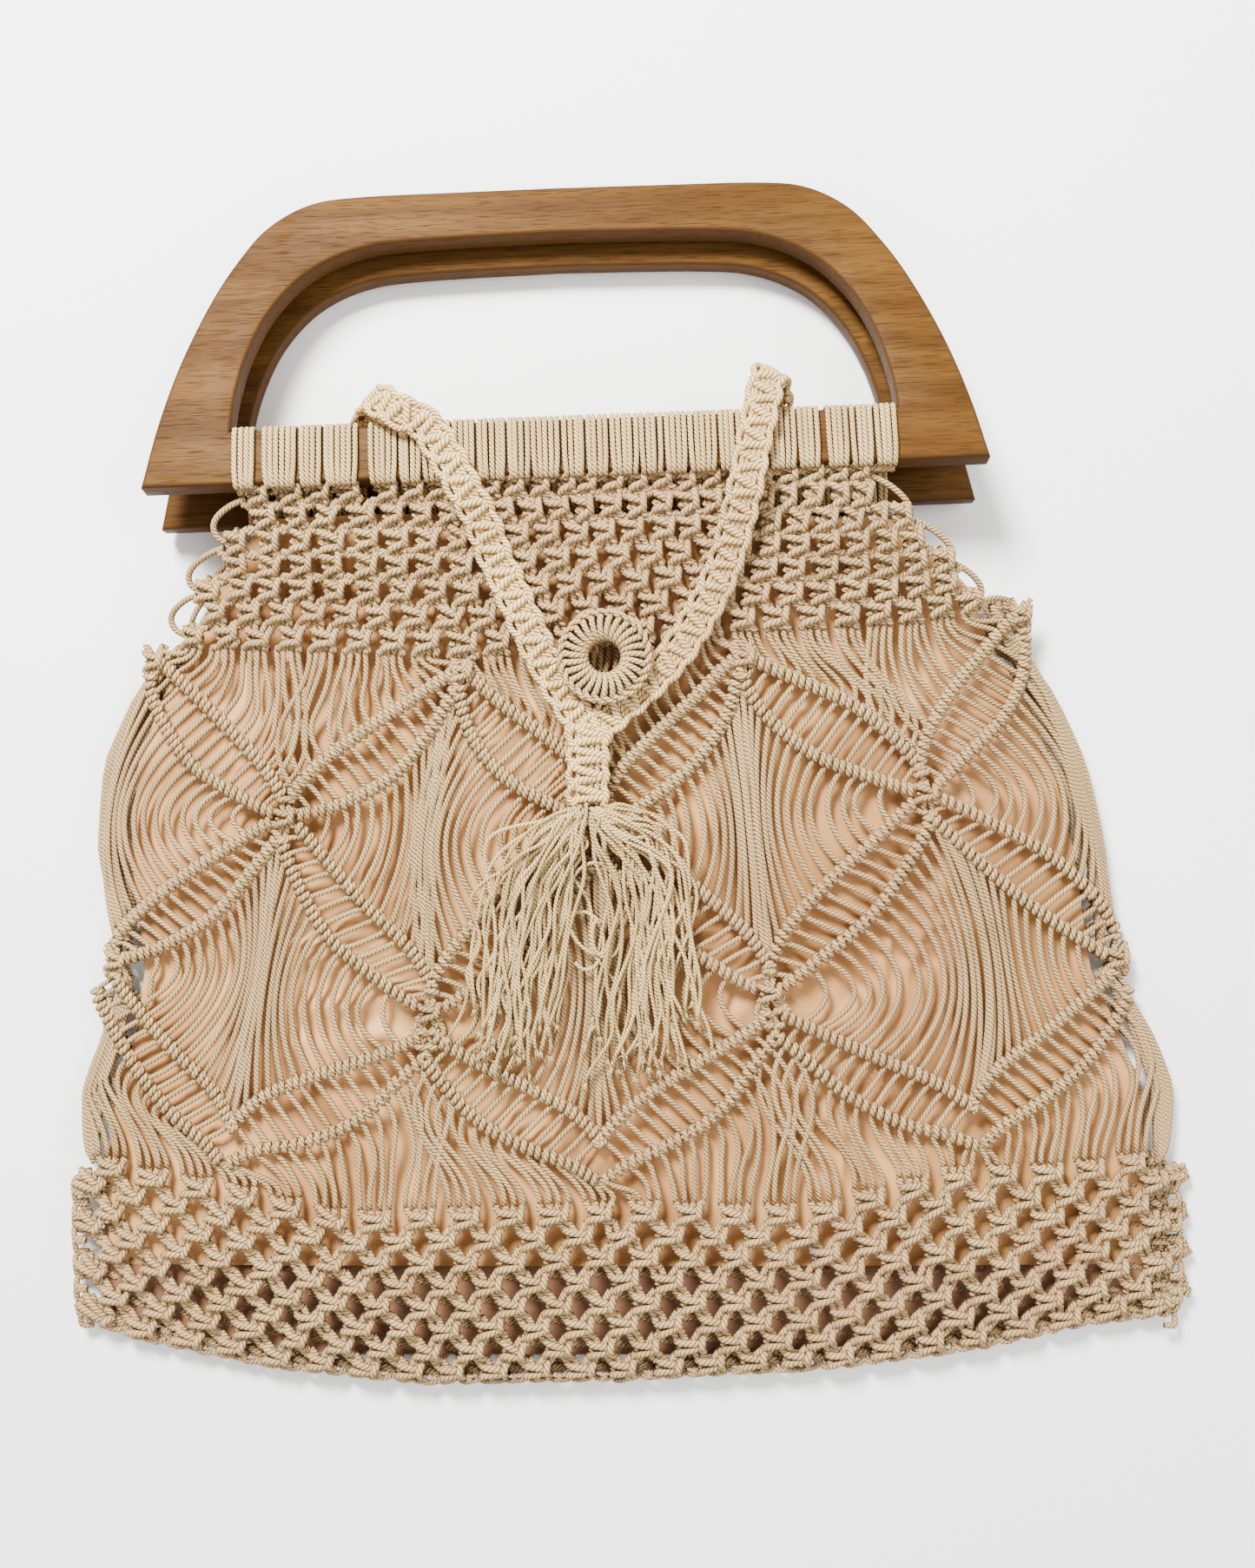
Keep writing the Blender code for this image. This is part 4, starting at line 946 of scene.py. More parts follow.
class Route:
    """A flat strap's middle line with its own directions, read by distance."""

    def __init__(self, rows, thickness):
        points = []
        for across, down, under, lift in rows:
            xy = plan(across, down)
            if under == "panel":
                z = float(front_top(xy))
            else:
                z = bar_face(under == "back bar", xy)
            points.append((*xy, z + GAP + thickness / 2 + lift))
        self.line = smooth(np.array(points)[None], 8)[0]
        run = np.linalg.norm(np.diff(self.line, axis=0), axis=1)
        self.run = np.concatenate([[0], np.cumsum(run)])
        self.length = self.run[-1]
        ahead = unit(np.gradient(self.line, axis=0))
        level = np.array([1.0, 0, 0])
        across = []
        for t in ahead[::-1]:
            if t[1] < -0.6:
                level = unit(np.array([-t[1], t[0], 0.0]))
            across.append(unit(level - t * (level @ t)))
        self.ahead = ahead
        self.across = np.array(across[::-1])

    def place(self, local):
        """Points given as distance along, across to the right, and out of the face."""
        at = np.clip(local[..., 0], 0, self.length)

        def read(values):
            return np.stack([np.interp(at, self.run, values[:, i]) for i in range(3)], axis=-1)

        across, ahead = unit(read(self.across)), unit(read(self.ahead))
        face = np.cross(ahead, across)
        return read(self.line) + across * local[..., 1:2] + face * local[..., 2:3]


def bar_face(back, xy):
    """Height of the upper face of a bar's wraps, carried on as a plane."""
    matrix = handle_matrix(back)
    normal = matrix.to_3x3() @ Vector((0, 0, 1))
    spot = matrix @ Vector((0, 0, SLEEVE_HALF))
    return spot.z - (normal.x * (xy[0] - spot.x) + normal.y * (xy[1] - spot.y)) / normal.z


# One strap knot in half widths, pitches and cord widths: across, along from the bar, outward
STRAP_CROSSING = np.array((
    (-1.02, -0.44, -0.45), (-0.84, -0.37, 0.15), (-0.35, -0.25, 0.52), (0.30, -0.12, 0.56),
    (0.80, -0.01, 0.35), (1.00, 0.07, -0.10), (0.80, 0.15, 0.30), (0.30, 0.20, 0.56),
    (-0.35, 0.29, 0.52), (-0.84, 0.37, 0.15), (-1.02, 0.46, -0.45),
))
STRAP_LOOP = np.array((
    (-0.58, -0.58, 0.30), (-0.90, -0.40, 0.62), (-1.10, 0.00, 0.30), (-0.90, 0.40, 0.62),
    (-0.58, 0.58, 0.30),
))
STRAP_EDGE = np.array((
    (0.84, -0.60, -0.20), (0.98, -0.36, 0.35), (1.14, 0.02, 0.62), (1.00, 0.38, 0.35),
    (0.84, 0.60, -0.20),
))
STRAP_CORES = (-0.54, -0.18, 0.18, 0.54)


def knotted_strap(cords, route, width, pitch):
    """Square knots in a row: crossings over straight core cords, loops left, a bumpy edge right."""
    many = round(route.length / pitch)
    step = route.length / many
    half = width / 2 - CORD * 0.5
    spots = (np.arange(many) + 0.5) * step
    for shape, thick in ((STRAP_CROSSING, 0.68), (STRAP_LOOP, 0.56), (STRAP_EDGE, 0.58)):
        local = np.stack([shape[:, 1] * step, shape[:, 0] * half, shape[:, 2] * CORD], axis=-1)
        local = local + cords.draw.normal(0, 0.00014, (many, *local.shape))
        local[..., 0] += spots[:, None]
        cords.add(route.place(local), CORD * thick, 3)
    for across in STRAP_CORES:
        line = np.linspace(0, route.length, 3 * many)
        local = np.stack([line, np.full(3 * many, across * half), np.full(3 * many, 0.05 * CORD)], -1)
        cords.add(route.place(local), CORD * 0.5, 2)


# Shader values
class Value:
    """A node socket that takes part in Python expressions."""

    def __init__(self, tree, socket):
        self.tree, self.socket = tree, socket

    def _math(self, operation, *values, **more):
        values = dict(enumerate(values))
        return node(self.tree, "ShaderNodeMath", {"operation": operation, **more}, values)

    def __add__(self, other):
        return self._math("ADD", self, other)

    def __sub__(self, other):
        return self._math("SUBTRACT", self, other)

    def __rsub__(self, other):
        return self._math("SUBTRACT", other, self)

    def __mul__(self, other):
        return self._math("MULTIPLY", self, other)

    def __pow__(self, other):
        return self._math("POWER", self, other)

    __radd__ = __add__
    __rmul__ = __mul__

    def clamp(self):
        return self._math("ADD", self, 0.0, use_clamp=True)

    def fraction(self):
        return self._math("FRACT", self)

    def sine(self):
        return self._math("SINE", self)

    def size(self):
        return self._math("ABSOLUTE", self)

    def parts(self):
        """The three numbers of a vector."""
        made = self.tree.nodes.new("ShaderNodeSeparateXYZ")
        self.tree.links.new(self.socket, made.inputs[0])
        return [Value(self.tree, socket) for socket in made.outputs]

    def over(self, low, high):
        """0 below low, 1 above high, smooth between."""
        return node(self.tree, "ShaderNodeMapRange", {"interpolation_type": "SMOOTHSTEP"},
                    {"Value": self, "From Min": low, "From Max": high})


def node(tree, kind, settings=(), values=(), out=0):
    """Adds a node: its settings first, then numbers, colours or links on its sockets."""
    made = tree.nodes.new(kind)
    for key, value in dict(settings).items():
        setattr(made, key, value)
    for key, value in dict(values).items():
        socket = made.inputs[key]
        if isinstance(value, Value):
            tree.links.new(value.socket, socket)
        else:
            socket.default_value = value
    return Value(tree, made.outputs[out])


def mix(factor, a, b):
    """A colour between two colours."""
    def colour(c):
        return c if isinstance(c, Value) else (*c, 1.0)

    made = factor.tree.nodes.new("ShaderNodeMix")
    made.data_type = "RGBA"
    factor.tree.links.new(factor.socket, made.inputs[0])
    for socket, value in ((made.inputs[6], colour(a)), (made.inputs[7], colour(b))):
        if isinstance(value, Value):
            factor.tree.links.new(value.socket, socket)
        else:
            socket.default_value = value
    return Value(factor.tree, made.outputs[2])


def clouds(place, scale, detail):
    """Soft noise at a place."""
    return node(place.tree, "ShaderNodeTexNoise", {},
                {"Vector": place, "Scale": scale, "Detail": detail})


def colours(group, *names):
    """Colours of a group of settings."""
    return [tuple(getattr(group, name)) for name in names]


def new_material(name):
    material = bpy.data.materials.new(name)
    material.use_nodes = True
    return material, material.node_tree, material.node_tree.nodes["Principled BSDF"]


def feed(shader, socket, value):
    shader.id_data.links.new(value.socket, shader.inputs[socket])


def bumped(tree, shader, height, distance, strength=1.0):
    normal = node(tree, "ShaderNodeBump", {}, {"Height": height, "Distance": distance,
                                               "Strength": strength})
    feed(shader, "Normal", normal)


def twisted_cord(name, light, middle, dark, lay, plies, soil, stain=None):
    """Plied cotton: slanted plies with painted shade in their creases and painted shade on the sides
    of cords that turn away from straight up, each cord of its own tint, soiled in patches.
    """
    material, tree, shader = new_material(name)
    uv = node(tree, "ShaderNodeUVMap", {"uv_map": "lay"})
    around, along, _ = uv.parts()
    place = node(tree, "ShaderNodeNewGeometry")
    tint = node(tree, "ShaderNodeAttribute", {"attribute_name": "tint"}, out=2)
    phase = (around * float(plies) + along * (plies / lay)).fraction()
    ply = 1.0 - (phase * 2.0 - 1.0) ** 2
    # painted shade: the creases between the plies are darkened towards the crease colour
    crease = 1.0 - ply.over(0.0, 0.66)
    # painted shade: where a cord's side turns away from straight up, as between neighbouring cords,
    # it is darkened towards the crease colour
    facing = node(tree, "ShaderNodeNewGeometry", out=1)
    groove_shade = 1.0 - facing.parts()[2].size().over(0.04, 0.62)
    fibre = clouds(place, 2600.0, 2.0)
    cloud = clouds(place, 14.0, 2.0)
    grey = clouds(place, 46.0, 1.0)
    colour = mix((tint * 0.55 + fibre * 0.45).clamp(), middle, light)
    # painted shade in the ply creases and along the cords' sides
    colour = mix((crease * 0.95).clamp(), colour, dark)
    colour = mix((groove_shade * 0.62).clamp(), colour, dark)
    colour = mix((cloud.over(0.46, 0.72) * 0.42).clamp(), colour, soil)
    colour = mix((grey.over(0.55, 0.80) * 0.22).clamp(), colour, dark)
    if stain is not None:
        spot, reach, shade = stain
        away = node(tree, "ShaderNodeVectorMath", {"operation": "DISTANCE"},
                    {0: place, 1: spot}, out=1)
        mask = (1.0 - away.over(reach * 0.35, reach)) * grey.over(0.38, 0.56)
        colour = mix((mask * 0.75).clamp(), colour, shade)
    feed(shader, "Base Color", colour)
    feed(shader, "Roughness", (0.80 + crease * 0.12).clamp())
    shader.inputs["Specular IOR Level"].default_value = 0.12
    bumped(tree, shader, ply * 0.8 + fibre * 0.2, 0.00055)
    return material


def polished_wood(name, face, deep, pore, rim):
    """Straight-grained tan board: fine dark pores along the grain and browner layered edges."""
    material, tree, shader = new_material(name)
    board = node(tree, "ShaderNodeAttribute", {"attribute_name": "board"}, out=1)
    edge = node(tree, "ShaderNodeAttribute", {"attribute_name": "rim"}, out=2)

    def stretched(scale, detail, turn=0.0, rough=0.5):
        placed = node(tree, "ShaderNodeMapping", {}, {
            "Vector": board, "Scale": scale, "Rotation": (0.0, 0.0, turn)})
        return node(tree, "ShaderNodeTexNoise", {}, {
            "Vector": placed, "Scale": 1.0, "Detail": detail, "Roughness": rough})

    broad = stretched((9.0, 120.0, 60.0), 3.0, 0.03)
    fine = stretched((34.0, 1500.0, 900.0), 3.0, 0.01, 0.6)
    pores = stretched((95.0, 2600.0, 1500.0), 1.0)
    streak = stretched((22.0, 420.0, 300.0), 2.0, 0.02)
    colour = mix(broad.over(0.34, 0.68), face, deep)
    colour = mix((fine.over(0.45, 0.75) * 0.45).clamp(), colour, pore)
    colour = mix((pores.over(0.60, 0.70) * 0.72).clamp(), colour, pore)
    colour = mix((streak.over(0.60, 0.72) * 0.45).clamp(), colour, pore)
    depth = board.parts()[2]
    veneer = (depth * 2100.0 + broad * 1.5).sine() * 0.5 + 0.5
    side = mix((veneer * 0.55 + fine * 0.3).clamp(), rim, deep)
    colour = mix((edge * 0.9).clamp(), colour, side)
    feed(shader, "Base Color", colour)
    feed(shader, "Roughness", (0.46 + pores.over(0.58, 0.7) * 0.3 + broad * 0.1).clamp())
    shader.inputs["Specular IOR Level"].default_value = 0.06
    bumped(tree, shader, 1.0 - pores.over(0.58, 0.7) - fine * 0.25, 0.00010)
    return material


def ribbed_satin(name, light, dark, thread):
    """Peach satin: a fine crosswise rib, shimmer along folds and faint ageing."""
    material, tree, shader = new_material(name)
    place = node(tree, "ShaderNodeNewGeometry")
    x, y, _ = place.parts()
    waver = clouds(place, 60.0, 2.0)
    rib = (y * 9000.0 + waver * 5.0).sine() * 0.5 + 0.5
    warp = (x * 12000.0 + waver * 4.0).sine() * 0.5 + 0.5
    cloud = clouds(place, 22.0, 3.0)
    age = clouds(place, 9.0, 2.0)
    colour = mix(cloud.over(0.35, 0.68), light, dark)
    colour = mix((rib * 0.28 + warp * 0.10).clamp(), colour, thread)
    colour = mix((age.over(0.48, 0.72) * 0.75).clamp(), colour, dark)
    feed(shader, "Base Color", colour)
    feed(shader, "Roughness", (0.40 + rib * 0.16 + cloud * 0.1).clamp())
    shader.inputs["Sheen Weight"].default_value = 0.06
    shader.inputs["Specular IOR Level"].default_value = 0.30
    bumped(tree, shader, rib * 0.6 + warp * 0.4, 0.00006)
    return material


def plain_floor(name, colour):
    material, tree, shader = new_material(name)
    grain = clouds(node(tree, "ShaderNodeNewGeometry"), 120.0, 3.0)
    feed(shader, "Base Color", mix((grain * 0.06).clamp(), colour, tuple(c * 0.9 for c in colour)))
    shader.inputs["Roughness"].default_value = 0.9
    return material


def size_prop(name, description, default):
    return bpy.props.FloatProperty(name=name, description=description, default=default,
                                   min=1e-5, unit="LENGTH", subtype="DISTANCE", precision=4)


def colour_prop(name, description, default):
    return bpy.props.FloatVectorProperty(name=name, description=description, default=default,
                                         size=3, min=0, max=1, subtype="COLOR")


class HANDBAG_PG_cord(bpy.types.PropertyGroup):
    """Colours and lay of the cords"""

    lay: size_prop("Lay", "Length of cord in which a ply goes once round", 0.0048)
    thread: size_prop("Tassel thread", "Thickness of a tassel thread", 0.00142)
    light: colour_prop("Light", "Cleanest cotton of the bag's cords", (0.72, 0.52, 0.25))
    middle: colour_prop("Middle", "Usual cotton of the bag's cords", (0.54, 0.37, 0.16))
    # the net's cotton, coloured darker than the same cotton on the bars and the ring
    net_light: colour_prop("Worn light", "Cleanest cotton of the net", (0.55, 0.375, 0.18))
    net_middle: colour_prop("Worn middle", "Usual cotton of the net", (0.38, 0.245, 0.108))
    # painted shade: the crease colour darkens the creases between plies and the sides of cords that
    # turn away from straight up; it also darkens random grey patches
    dark: colour_prop("Crease", "Colour in the creases between plies", (0.075, 0.036, 0.013))
    soil: colour_prop("Soil", "Greyed pink of the handled patches", (0.36, 0.21, 0.11))
    stain: colour_prop("Stain", "Grey mark on the base band", (0.10, 0.095, 0.09))
    strap_light: colour_prop("Strap light", "Cleanest cotton of the strap", (0.86, 0.60, 0.27))
    strap_middle: colour_prop("Strap middle", "Usual cotton of the strap", (0.68, 0.455, 0.185))
    tassel_light: colour_prop("Tassel light", "Bright ends of the tassel", (0.86, 0.63, 0.30))
    tassel_middle: colour_prop("Tassel middle", "Usual colour of the tassel", (0.50, 0.33, 0.125))


class HANDBAG_PG_wood(bpy.types.PropertyGroup):
    """Sizes and colours of the handles"""

    ease: size_prop("Edge", "Radius of the board's eased edges", 0.0013)
    face: colour_prop("Face", "Light wood of the face", (0.100, 0.045, 0.0088))
    deep: colour_prop("Deep", "Darker bands of the face", (0.060, 0.025, 0.0048))
    pore: colour_prop("Pore", "Dark pores along the grain", (0.026, 0.010, 0.003))
    rim: colour_prop("Rim", "Browner wood of the cut edges", (0.048, 0.020, 0.0055))


class HANDBAG_PG_satin(bpy.types.PropertyGroup):
    """Sizes and colours of the lining"""

    crinkle: size_prop("Crinkle", "Height of the lining's soft creases", 0.0030)
    light: colour_prop("Light", "Satin where it catches the light", (0.72, 0.385, 0.140))
    dark: colour_prop("Dark", "Satin in its folds", (0.42, 0.195, 0.058))
    thread: colour_prop("Thread", "Warmer thread of the rib", (0.42, 0.20, 0.085))
    # painted shade: inside and inside_dark colour the back layer darker than the front, standing for
    # the deep shade it lies in behind the front net
    inside: colour_prop("Inside", "Browned satin of the back layer", (0.28, 0.135, 0.065))
    inside_dark: colour_prop("Inside dark", "Back layer in its folds", (0.17, 0.075, 0.036))


class HANDBAG_PG_stage(bpy.types.PropertyGroup):
    """Floor and lights"""

    floor: colour_prop("Floor", "Pale floor", (0.96, 0.96, 0.95))
    key: bpy.props.FloatProperty(name="Key", description="Power of the large soft light",
                                 default=85.0, min=0, unit="POWER")
    fill: bpy.props.FloatProperty(name="Fill", description="Strength of the sky", default=0.72, min=0)


def look_at(obj, target):
    obj.rotation_euler = (Vector(target) - obj.location).to_track_quat("-Z", "Y").to_euler()


def set_camera(scene):
    """A camera straight above the bag that frames what the photograph does."""
    camera = bpy.data.objects.new("camera", bpy.data.cameras.new("camera"))
    camera.location = (ORIGIN[0], ORIGIN[1], CAMERA_HEIGHT)
    camera.data.sensor_fit = "VERTICAL"
    camera.data.sensor_height = FILM_HEIGHT
    camera.data.lens = FILM_HEIGHT / (PHOTO_HEIGHT * PIXEL_SPAN)
    scene.collection.objects.link(camera)
    scene.camera = camera


def lay_floor(scene, colour):
    bm = bmesh.new()
    bmesh.ops.create_grid(bm, x_segments=2, y_segments=2, size=FLOOR_SIZE)
    mesh = bpy.data.meshes.new("floor")
    bm.to_mesh(mesh)
    bm.free()
    mesh.materials.append(plain_floor("pale_floor", colour))
    floor = bpy.data.objects.new("floor", mesh)
    floor.location.z = -FLOOR_DROP
    scene.collection.objects.link(floor)


def light_up(scene, power, fill):
    """Three soft lights and an even white sky."""
    for name, where, size, share in LIGHTS:
        light = bpy.data.objects.new(name, bpy.data.lights.new(name, "AREA"))
        light.data.energy = power * share
        light.data.size = size
        light.location = where
        look_at(light, (0, 0, 0))
        scene.collection.objects.link(light)
    world = bpy.data.worlds.new("studio")
    world.use_nodes = True
    sky = world.node_tree.nodes["Background"]
    sky.inputs["Color"].default_value = (1.0, 1.0, 1.0, 1.0)
    sky.inputs["Strength"].default_value = fill
    scene.world = world


class HANDBAG_OT_stage(bpy.types.Operator):
    """Camera, floor and soft studio light"""

    bl_idname = "handbag.stage"
    bl_label = "Stage"

    def execute(self, context):
        scene, settings = context.scene, context.scene.handbag_stage
        set_camera(scene)
        lay_floor(scene, tuple(settings.floor))
        light_up(scene, settings.key, settings.fill)
        return {"FINISHED"}


def half_outline(rows, half_width, low, height):
    """Half of an outline, from its middle at the bottom round to its middle at the top."""
    half = np.array([(half_width * a, low + height * u) for a, u in rows])
    return [(0.0, low), *(tuple(p) for p in smooth(half[None], OUTLINE_STEPS)[0])]


def make_board(name, back, material, ease):
    """A D-shaped board with rounded edges that remembers where its grain and its rim are."""
    opening = BOARD_HEIGHT - RAIL_HEIGHT - BAR_HEIGHT
    outside = half_outline(BOARD_OUTSIDE, BOARD_HALF_WIDTH, 0, BOARD_HEIGHT)
    hole = half_outline(BOARD_INSIDE, OPENING_HALF_WIDTH, BAR_HEIGHT, opening)
    low, high = -BOARD_THICKNESS / 2, BOARD_THICKNESS / 2
    bm = bmesh.new()
    corners = {}

    def face(spots):
        for spot in spots:
            if spot not in corners:
                corners[spot] = bm.verts.new(spot)
        bm.faces.new([corners[spot] for spot in spots])

    for way in (1, -1):
        for z in (low, high):
            face([(way * x, y, z) for x, y in outside + hole[::-1]])
        for line in (outside, hole):
            for (x, y), (u, v) in zip(line, line[1:]):
                face([(way * x, y, low), (way * u, v, low), (way * u, v, high), (way * x, y, high)])
    bmesh.ops.recalc_face_normals(bm, faces=bm.faces)
    rims = [e for e in bm.edges if len(e.link_faces) == 2 and e.calc_face_angle(0) > 1.2
            and abs(e.verts[0].co.z - e.verts[1].co.z) < 1e-6]
    bmesh.ops.bevel(bm, geom=rims, offset=ease, segments=3, affect="EDGES", profile=0.5)
    mesh = bpy.data.meshes.new(name)
    bm.to_mesh(mesh)
    bm.free()
    local = np.empty(len(mesh.vertices) * 3, np.float32)
    mesh.vertices.foreach_get("co", local)
    local = local.reshape(-1, 3)
    board = mesh.attributes.new("board", "FLOAT_VECTOR", "POINT")
    board.data.foreach_set("vector", (local + [0, 0.5 * back, 0]).astype(np.float32).ravel())
    rim = np.abs(local[:, 2]) < BOARD_THICKNESS / 2 - 1e-5
    mesh.attributes.new("rim", "FLOAT", "POINT").data.foreach_set("value", rim.astype(np.float32))
    mesh.transform(handle_matrix(back))
    mesh.transform(Matrix.Translation(Vector(ORIGIN)))
    mesh.shade_smooth()
    mesh.set_sharp_from_angle(angle=math.radians(50))
    mesh.materials.append(material)
    return bpy.data.objects.new(name, mesh)


class HANDBAG_OT_handles(bpy.types.Operator):
    """Both wooden handles"""

    bl_idname = "handbag.handles"
    bl_label = "Wooden handles"

    def execute(self, context):
        wood = context.scene.handbag_wood
        material = polished_wood("tan_wood", *colours(wood, "face", "deep", "pore", "rim"))
        for name, back, solid in (("front_board", False, "handle_front"),
                                  ("back_board", True, "handle_back")):
            settle(make_board(name, back, material, wood.ease), "handle_wood", solid)
        return {"FINISHED"}


def cotton(name):
    """One of the cottons, made when it is first asked for."""
    made = bpy.data.materials.get(name)
    if made is None:
        group = bpy.context.scene.handbag_cord
        light, middle, marked = COTTONS[name]
        stain = None
        if marked:
            spot = plan(*STAIN_PLACE) + ORIGIN[:2]
            stain = ((*spot, STAIN_HEIGHT), STAIN_REACH, tuple(group.stain))
        made = twisted_cord(name, *colours(group, light, middle, "dark"), group.lay, 3,
                            tuple(group.soil), stain)
    return made


class HANDBAG_OT_bar_wraps(bpy.types.Operator):
    """Cord wound round both bars"""

    bl_idname = "handbag.bar_wraps"
    bl_label = "Bar wraps"

    def execute(self, context):
        for name, back, solid in (("front_bar_cords", False, "bar_wrap_front"),
                                  ("back_bar_cords", True, "bar_wrap_back")):
            cords = Cords(seed=11 + back)
            wound_turns(cords, back, 1 if back else 2)
            cords.piece(name, cotton("bag_cotton"), "bag_cord", solid)
        return {"FINISHED"}


class HANDBAG_OT_front_net(bpy.types.Operator):
    """Front panel: upper band, leaf pattern and base band"""

    bl_idname = "handbag.front_net"
    bl_label = "Front net"

    def execute(self, context):
        side, band, base = Side(False), upper_band(), base_band()
        cords = Cords(seed=21)
        band.knots(cords, side, 2, width=0.70, height=1.08, heads=wrap_heads(False), thick=0.61)
        band.edge_loops(cords, side, (0.0080, 0.0045))
        cords.piece("front_upper_band", cotton("net_cotton"), "bag_cord", "net_front")
        cords = Cords(seed=22)
        pattern(cords, side, band, base, True)
        cords.piece("front_leaf_net", cotton("net_cotton"), "bag_cord", "net_front")
        cords = Cords(seed=23)
        base.knots(cords, side, 2, width=0.59, height=0.92, tail=-0.0028, thick=0.64)
        close_folds(cords)
        cords.piece("front_base_band", cotton("net_cotton"), "bag_cord", "net_front")
        return {"FINISHED"}


class HANDBAG_OT_back_net(bpy.types.Operator):
    """Back panel, which lies under the bag"""

    bl_idname = "handbag.back_net"
    bl_label = "Back net"

    def execute(self, context):
        side, band, base = Side(True), upper_band(), base_band(shift=0.5)
        cords = Cords(seed=31, sides=5)
        band.knots(cords, side, 1, width=0.62, height=0.98, heads=wrap_heads(True))
        band.edge_loops(cords, side, (0.002, 0.002))
        base.knots(cords, side, 1, width=0.54, height=0.84, tail=-0.0008)
        cords.piece("back_bands", cotton("net_cotton"), "bag_cord", "net_back")
        cords = Cords(seed=32, sides=5)
        pattern(cords, side, band, base, False)
        cords.piece("back_leaf_net", cotton("net_cotton"), "bag_cord", "net_back")
        return {"FINISHED"}


def satin_layer(name, front, columns, rows, crinkle):
    """One side of the lining pouch; the front side is gathered in soft creases."""
    share_x, share_y = np.meshgrid(np.linspace(0, 1, columns + 1), np.linspace(0, 1, rows + 1))
    high = float(bar_bottom(True, HANDLE_SHIFT / HALF_WIDTH))
    across = (2 * share_x - 1) * HEM_REACH
    hem = POUCH_HEM if front else np.minimum(POUCH_BACK_HEM, table(HEM, 1, across) - HEM_MARGIN)
    down = high + (hem - high) * share_y
    left = table(SIDES, 1, down) + POUCH_INSET / HALF_WIDTH
    right = table(SIDES, 2, down) - POUCH_INSET / HALF_WIDTH
    xy = plan(left + (right - left) * share_x, down)
    low, top = back_top(xy) + 0.0010, front_top(xy) - WALL - POUCH_DEPTH / 2
    sides = np.clip(6 * np.minimum(share_x, 1 - share_x), 0, 1)
    blend = (sides * np.clip(8 * (1 - share_y), 0, 1) if front else sides).ravel()
    points = raised(xy, top if front else low).reshape(-1, 3)
    if front:
        for i, (p, f) in enumerate(zip(points, blend)):
            spot = Vector((p[0] * 44, p[1] * 26, 3.0))
            bend = noise.noise(spot * 0.5)
            spot = spot + Vector((bend, -bend, 0)) * 1.6
            crease = 1 - abs(noise.noise(spot)) * 2.4 + 0.55 * noise.noise(spot * 3.1)
            points[i, 2] -= crinkle * (1.2 - crease) * f
        points[:, 2] = np.maximum(points[:, 2], (low + 0.0012).ravel())
    points[:, 2] = points[:, 2] * blend + (0.5 * (low + top)).ravel() * (1 - blend)
    wide = columns + 1
    faces = []
    for r in range(rows):
        for c in range(columns):
            i = r * wide + c
            ring = (i, i + wide, i + wide + 1, i + 1)
            faces.append(ring if front else ring[::-1])
    mesh = bpy.data.meshes.new(name)
    mesh.from_pydata((points + ORIGIN).tolist(), [], faces)
    mesh.shade_smooth()
    steps = np.linalg.norm(np.diff(xy[rows // 2], axis=0), axis=1)
    return bpy.data.objects.new(name, mesh), float(steps.sum())


class HANDBAG_OT_lining(bpy.types.Operator):
    """Peach satin pouch that shows through the net"""

    bl_idname = "handbag.lining"
    bl_label = "Satin lining"

    def execute(self, context):
        satin = context.scene.handbag_satin
        front_satin = ribbed_satin("peach_satin", *colours(satin, "light", "dark", "thread"))
        # painted shade: the back layer gets a darker copy of the satin, for the shade it lies in
        shade_painted_back = ribbed_satin("shade_painted_satin",
                               *colours(satin, "inside", "inside_dark", "inside_dark"))
        for name, front in (("lining_front", True), ("lining_back", False)):
            obj, width = satin_layer(name, front, 210 if front else 40, 150 if front else 30,
                                     satin.crinkle)
            obj.data.materials.append(front_satin if front else shade_painted_back)
            settle(obj, "satin", "lining_pouch")
        return {"FINISHED"}


class HANDBAG_OT_strap(bpy.types.Operator):
    """Flat knotted strap with two branches and a bound neck"""

    bl_idname = "handbag.strap"
    bl_label = "Closure strap"

    def execute(self, context):
        cords = Cords(seed=41)
        for rows in (LEFT_BRANCH, RIGHT_BRANCH):
            knotted_strap(cords, Route(rows, STRAP_THICKNESS), STRAP_WIDTH, BRANCH_PITCH)
        knotted_strap(cords, Route(NECK, NECK_THICKNESS), NECK_WIDTH, NECK_PITCH)
        cords.piece("knotted_strap", cotton("strap_cotton"), "strap_cord", "closure_strap")
        return {"FINISHED"}


def ring_bindings(cords, middle, inner, outer):
    """Turns of cord round the ring, wider apart and thicker at its outside."""
    across, half = (outer - inner) / 2, RING_THICKNESS / 2 - CORD * 0.42
    rolls = np.linspace(0, 2 * math.pi, 13)
    flat = np.sign(np.cos(rolls)) * np.abs(np.cos(rolls)) ** 0.75
    reach = (inner + across) + across * flat
    lean = 0.0009 * np.sin(rolls)
    width = 0.36 + 0.16 * (reach / outer)
    for k in range(RING_BINDINGS):
        turn = 2 * math.pi * k / RING_BINDINGS
        out = np.array([math.cos(turn), math.sin(turn), 0])
        side = np.array([-math.sin(turn), math.cos(turn), 0])
        path = (middle + out * reach[:, None] + side * lean[:, None]
                + np.array([0, 0, 1.0]) * (half * np.sin(rolls))[:, None])
        cords.add(path[None], (CORD * width)[None])


def ring_rim(cords, middle, outer):
    """Hitches that lock the turns round the ring's rim, above and below."""
    for k in range(RING_BINDINGS):
        turn = 2 * math.pi * (k + np.array([-0.75, -0.25, 0.3, 0.8])) / RING_BINDINGS
        reach = np.array([outer - 0.0002, outer + 0.0012, outer + 0.0016, outer + 0.0004])
        lift = np.array([0.0016, 0.0020, 0.0009, -0.0002])
        path = np.stack([np.cos(turn) * reach, np.sin(turn) * reach, lift], axis=-1) + middle
        cords.add(path, CORD * 0.42, 2)
        cords.add(path * [1, 1, -1] + [0, 0, 2 * middle[2]], CORD * 0.42, 1)


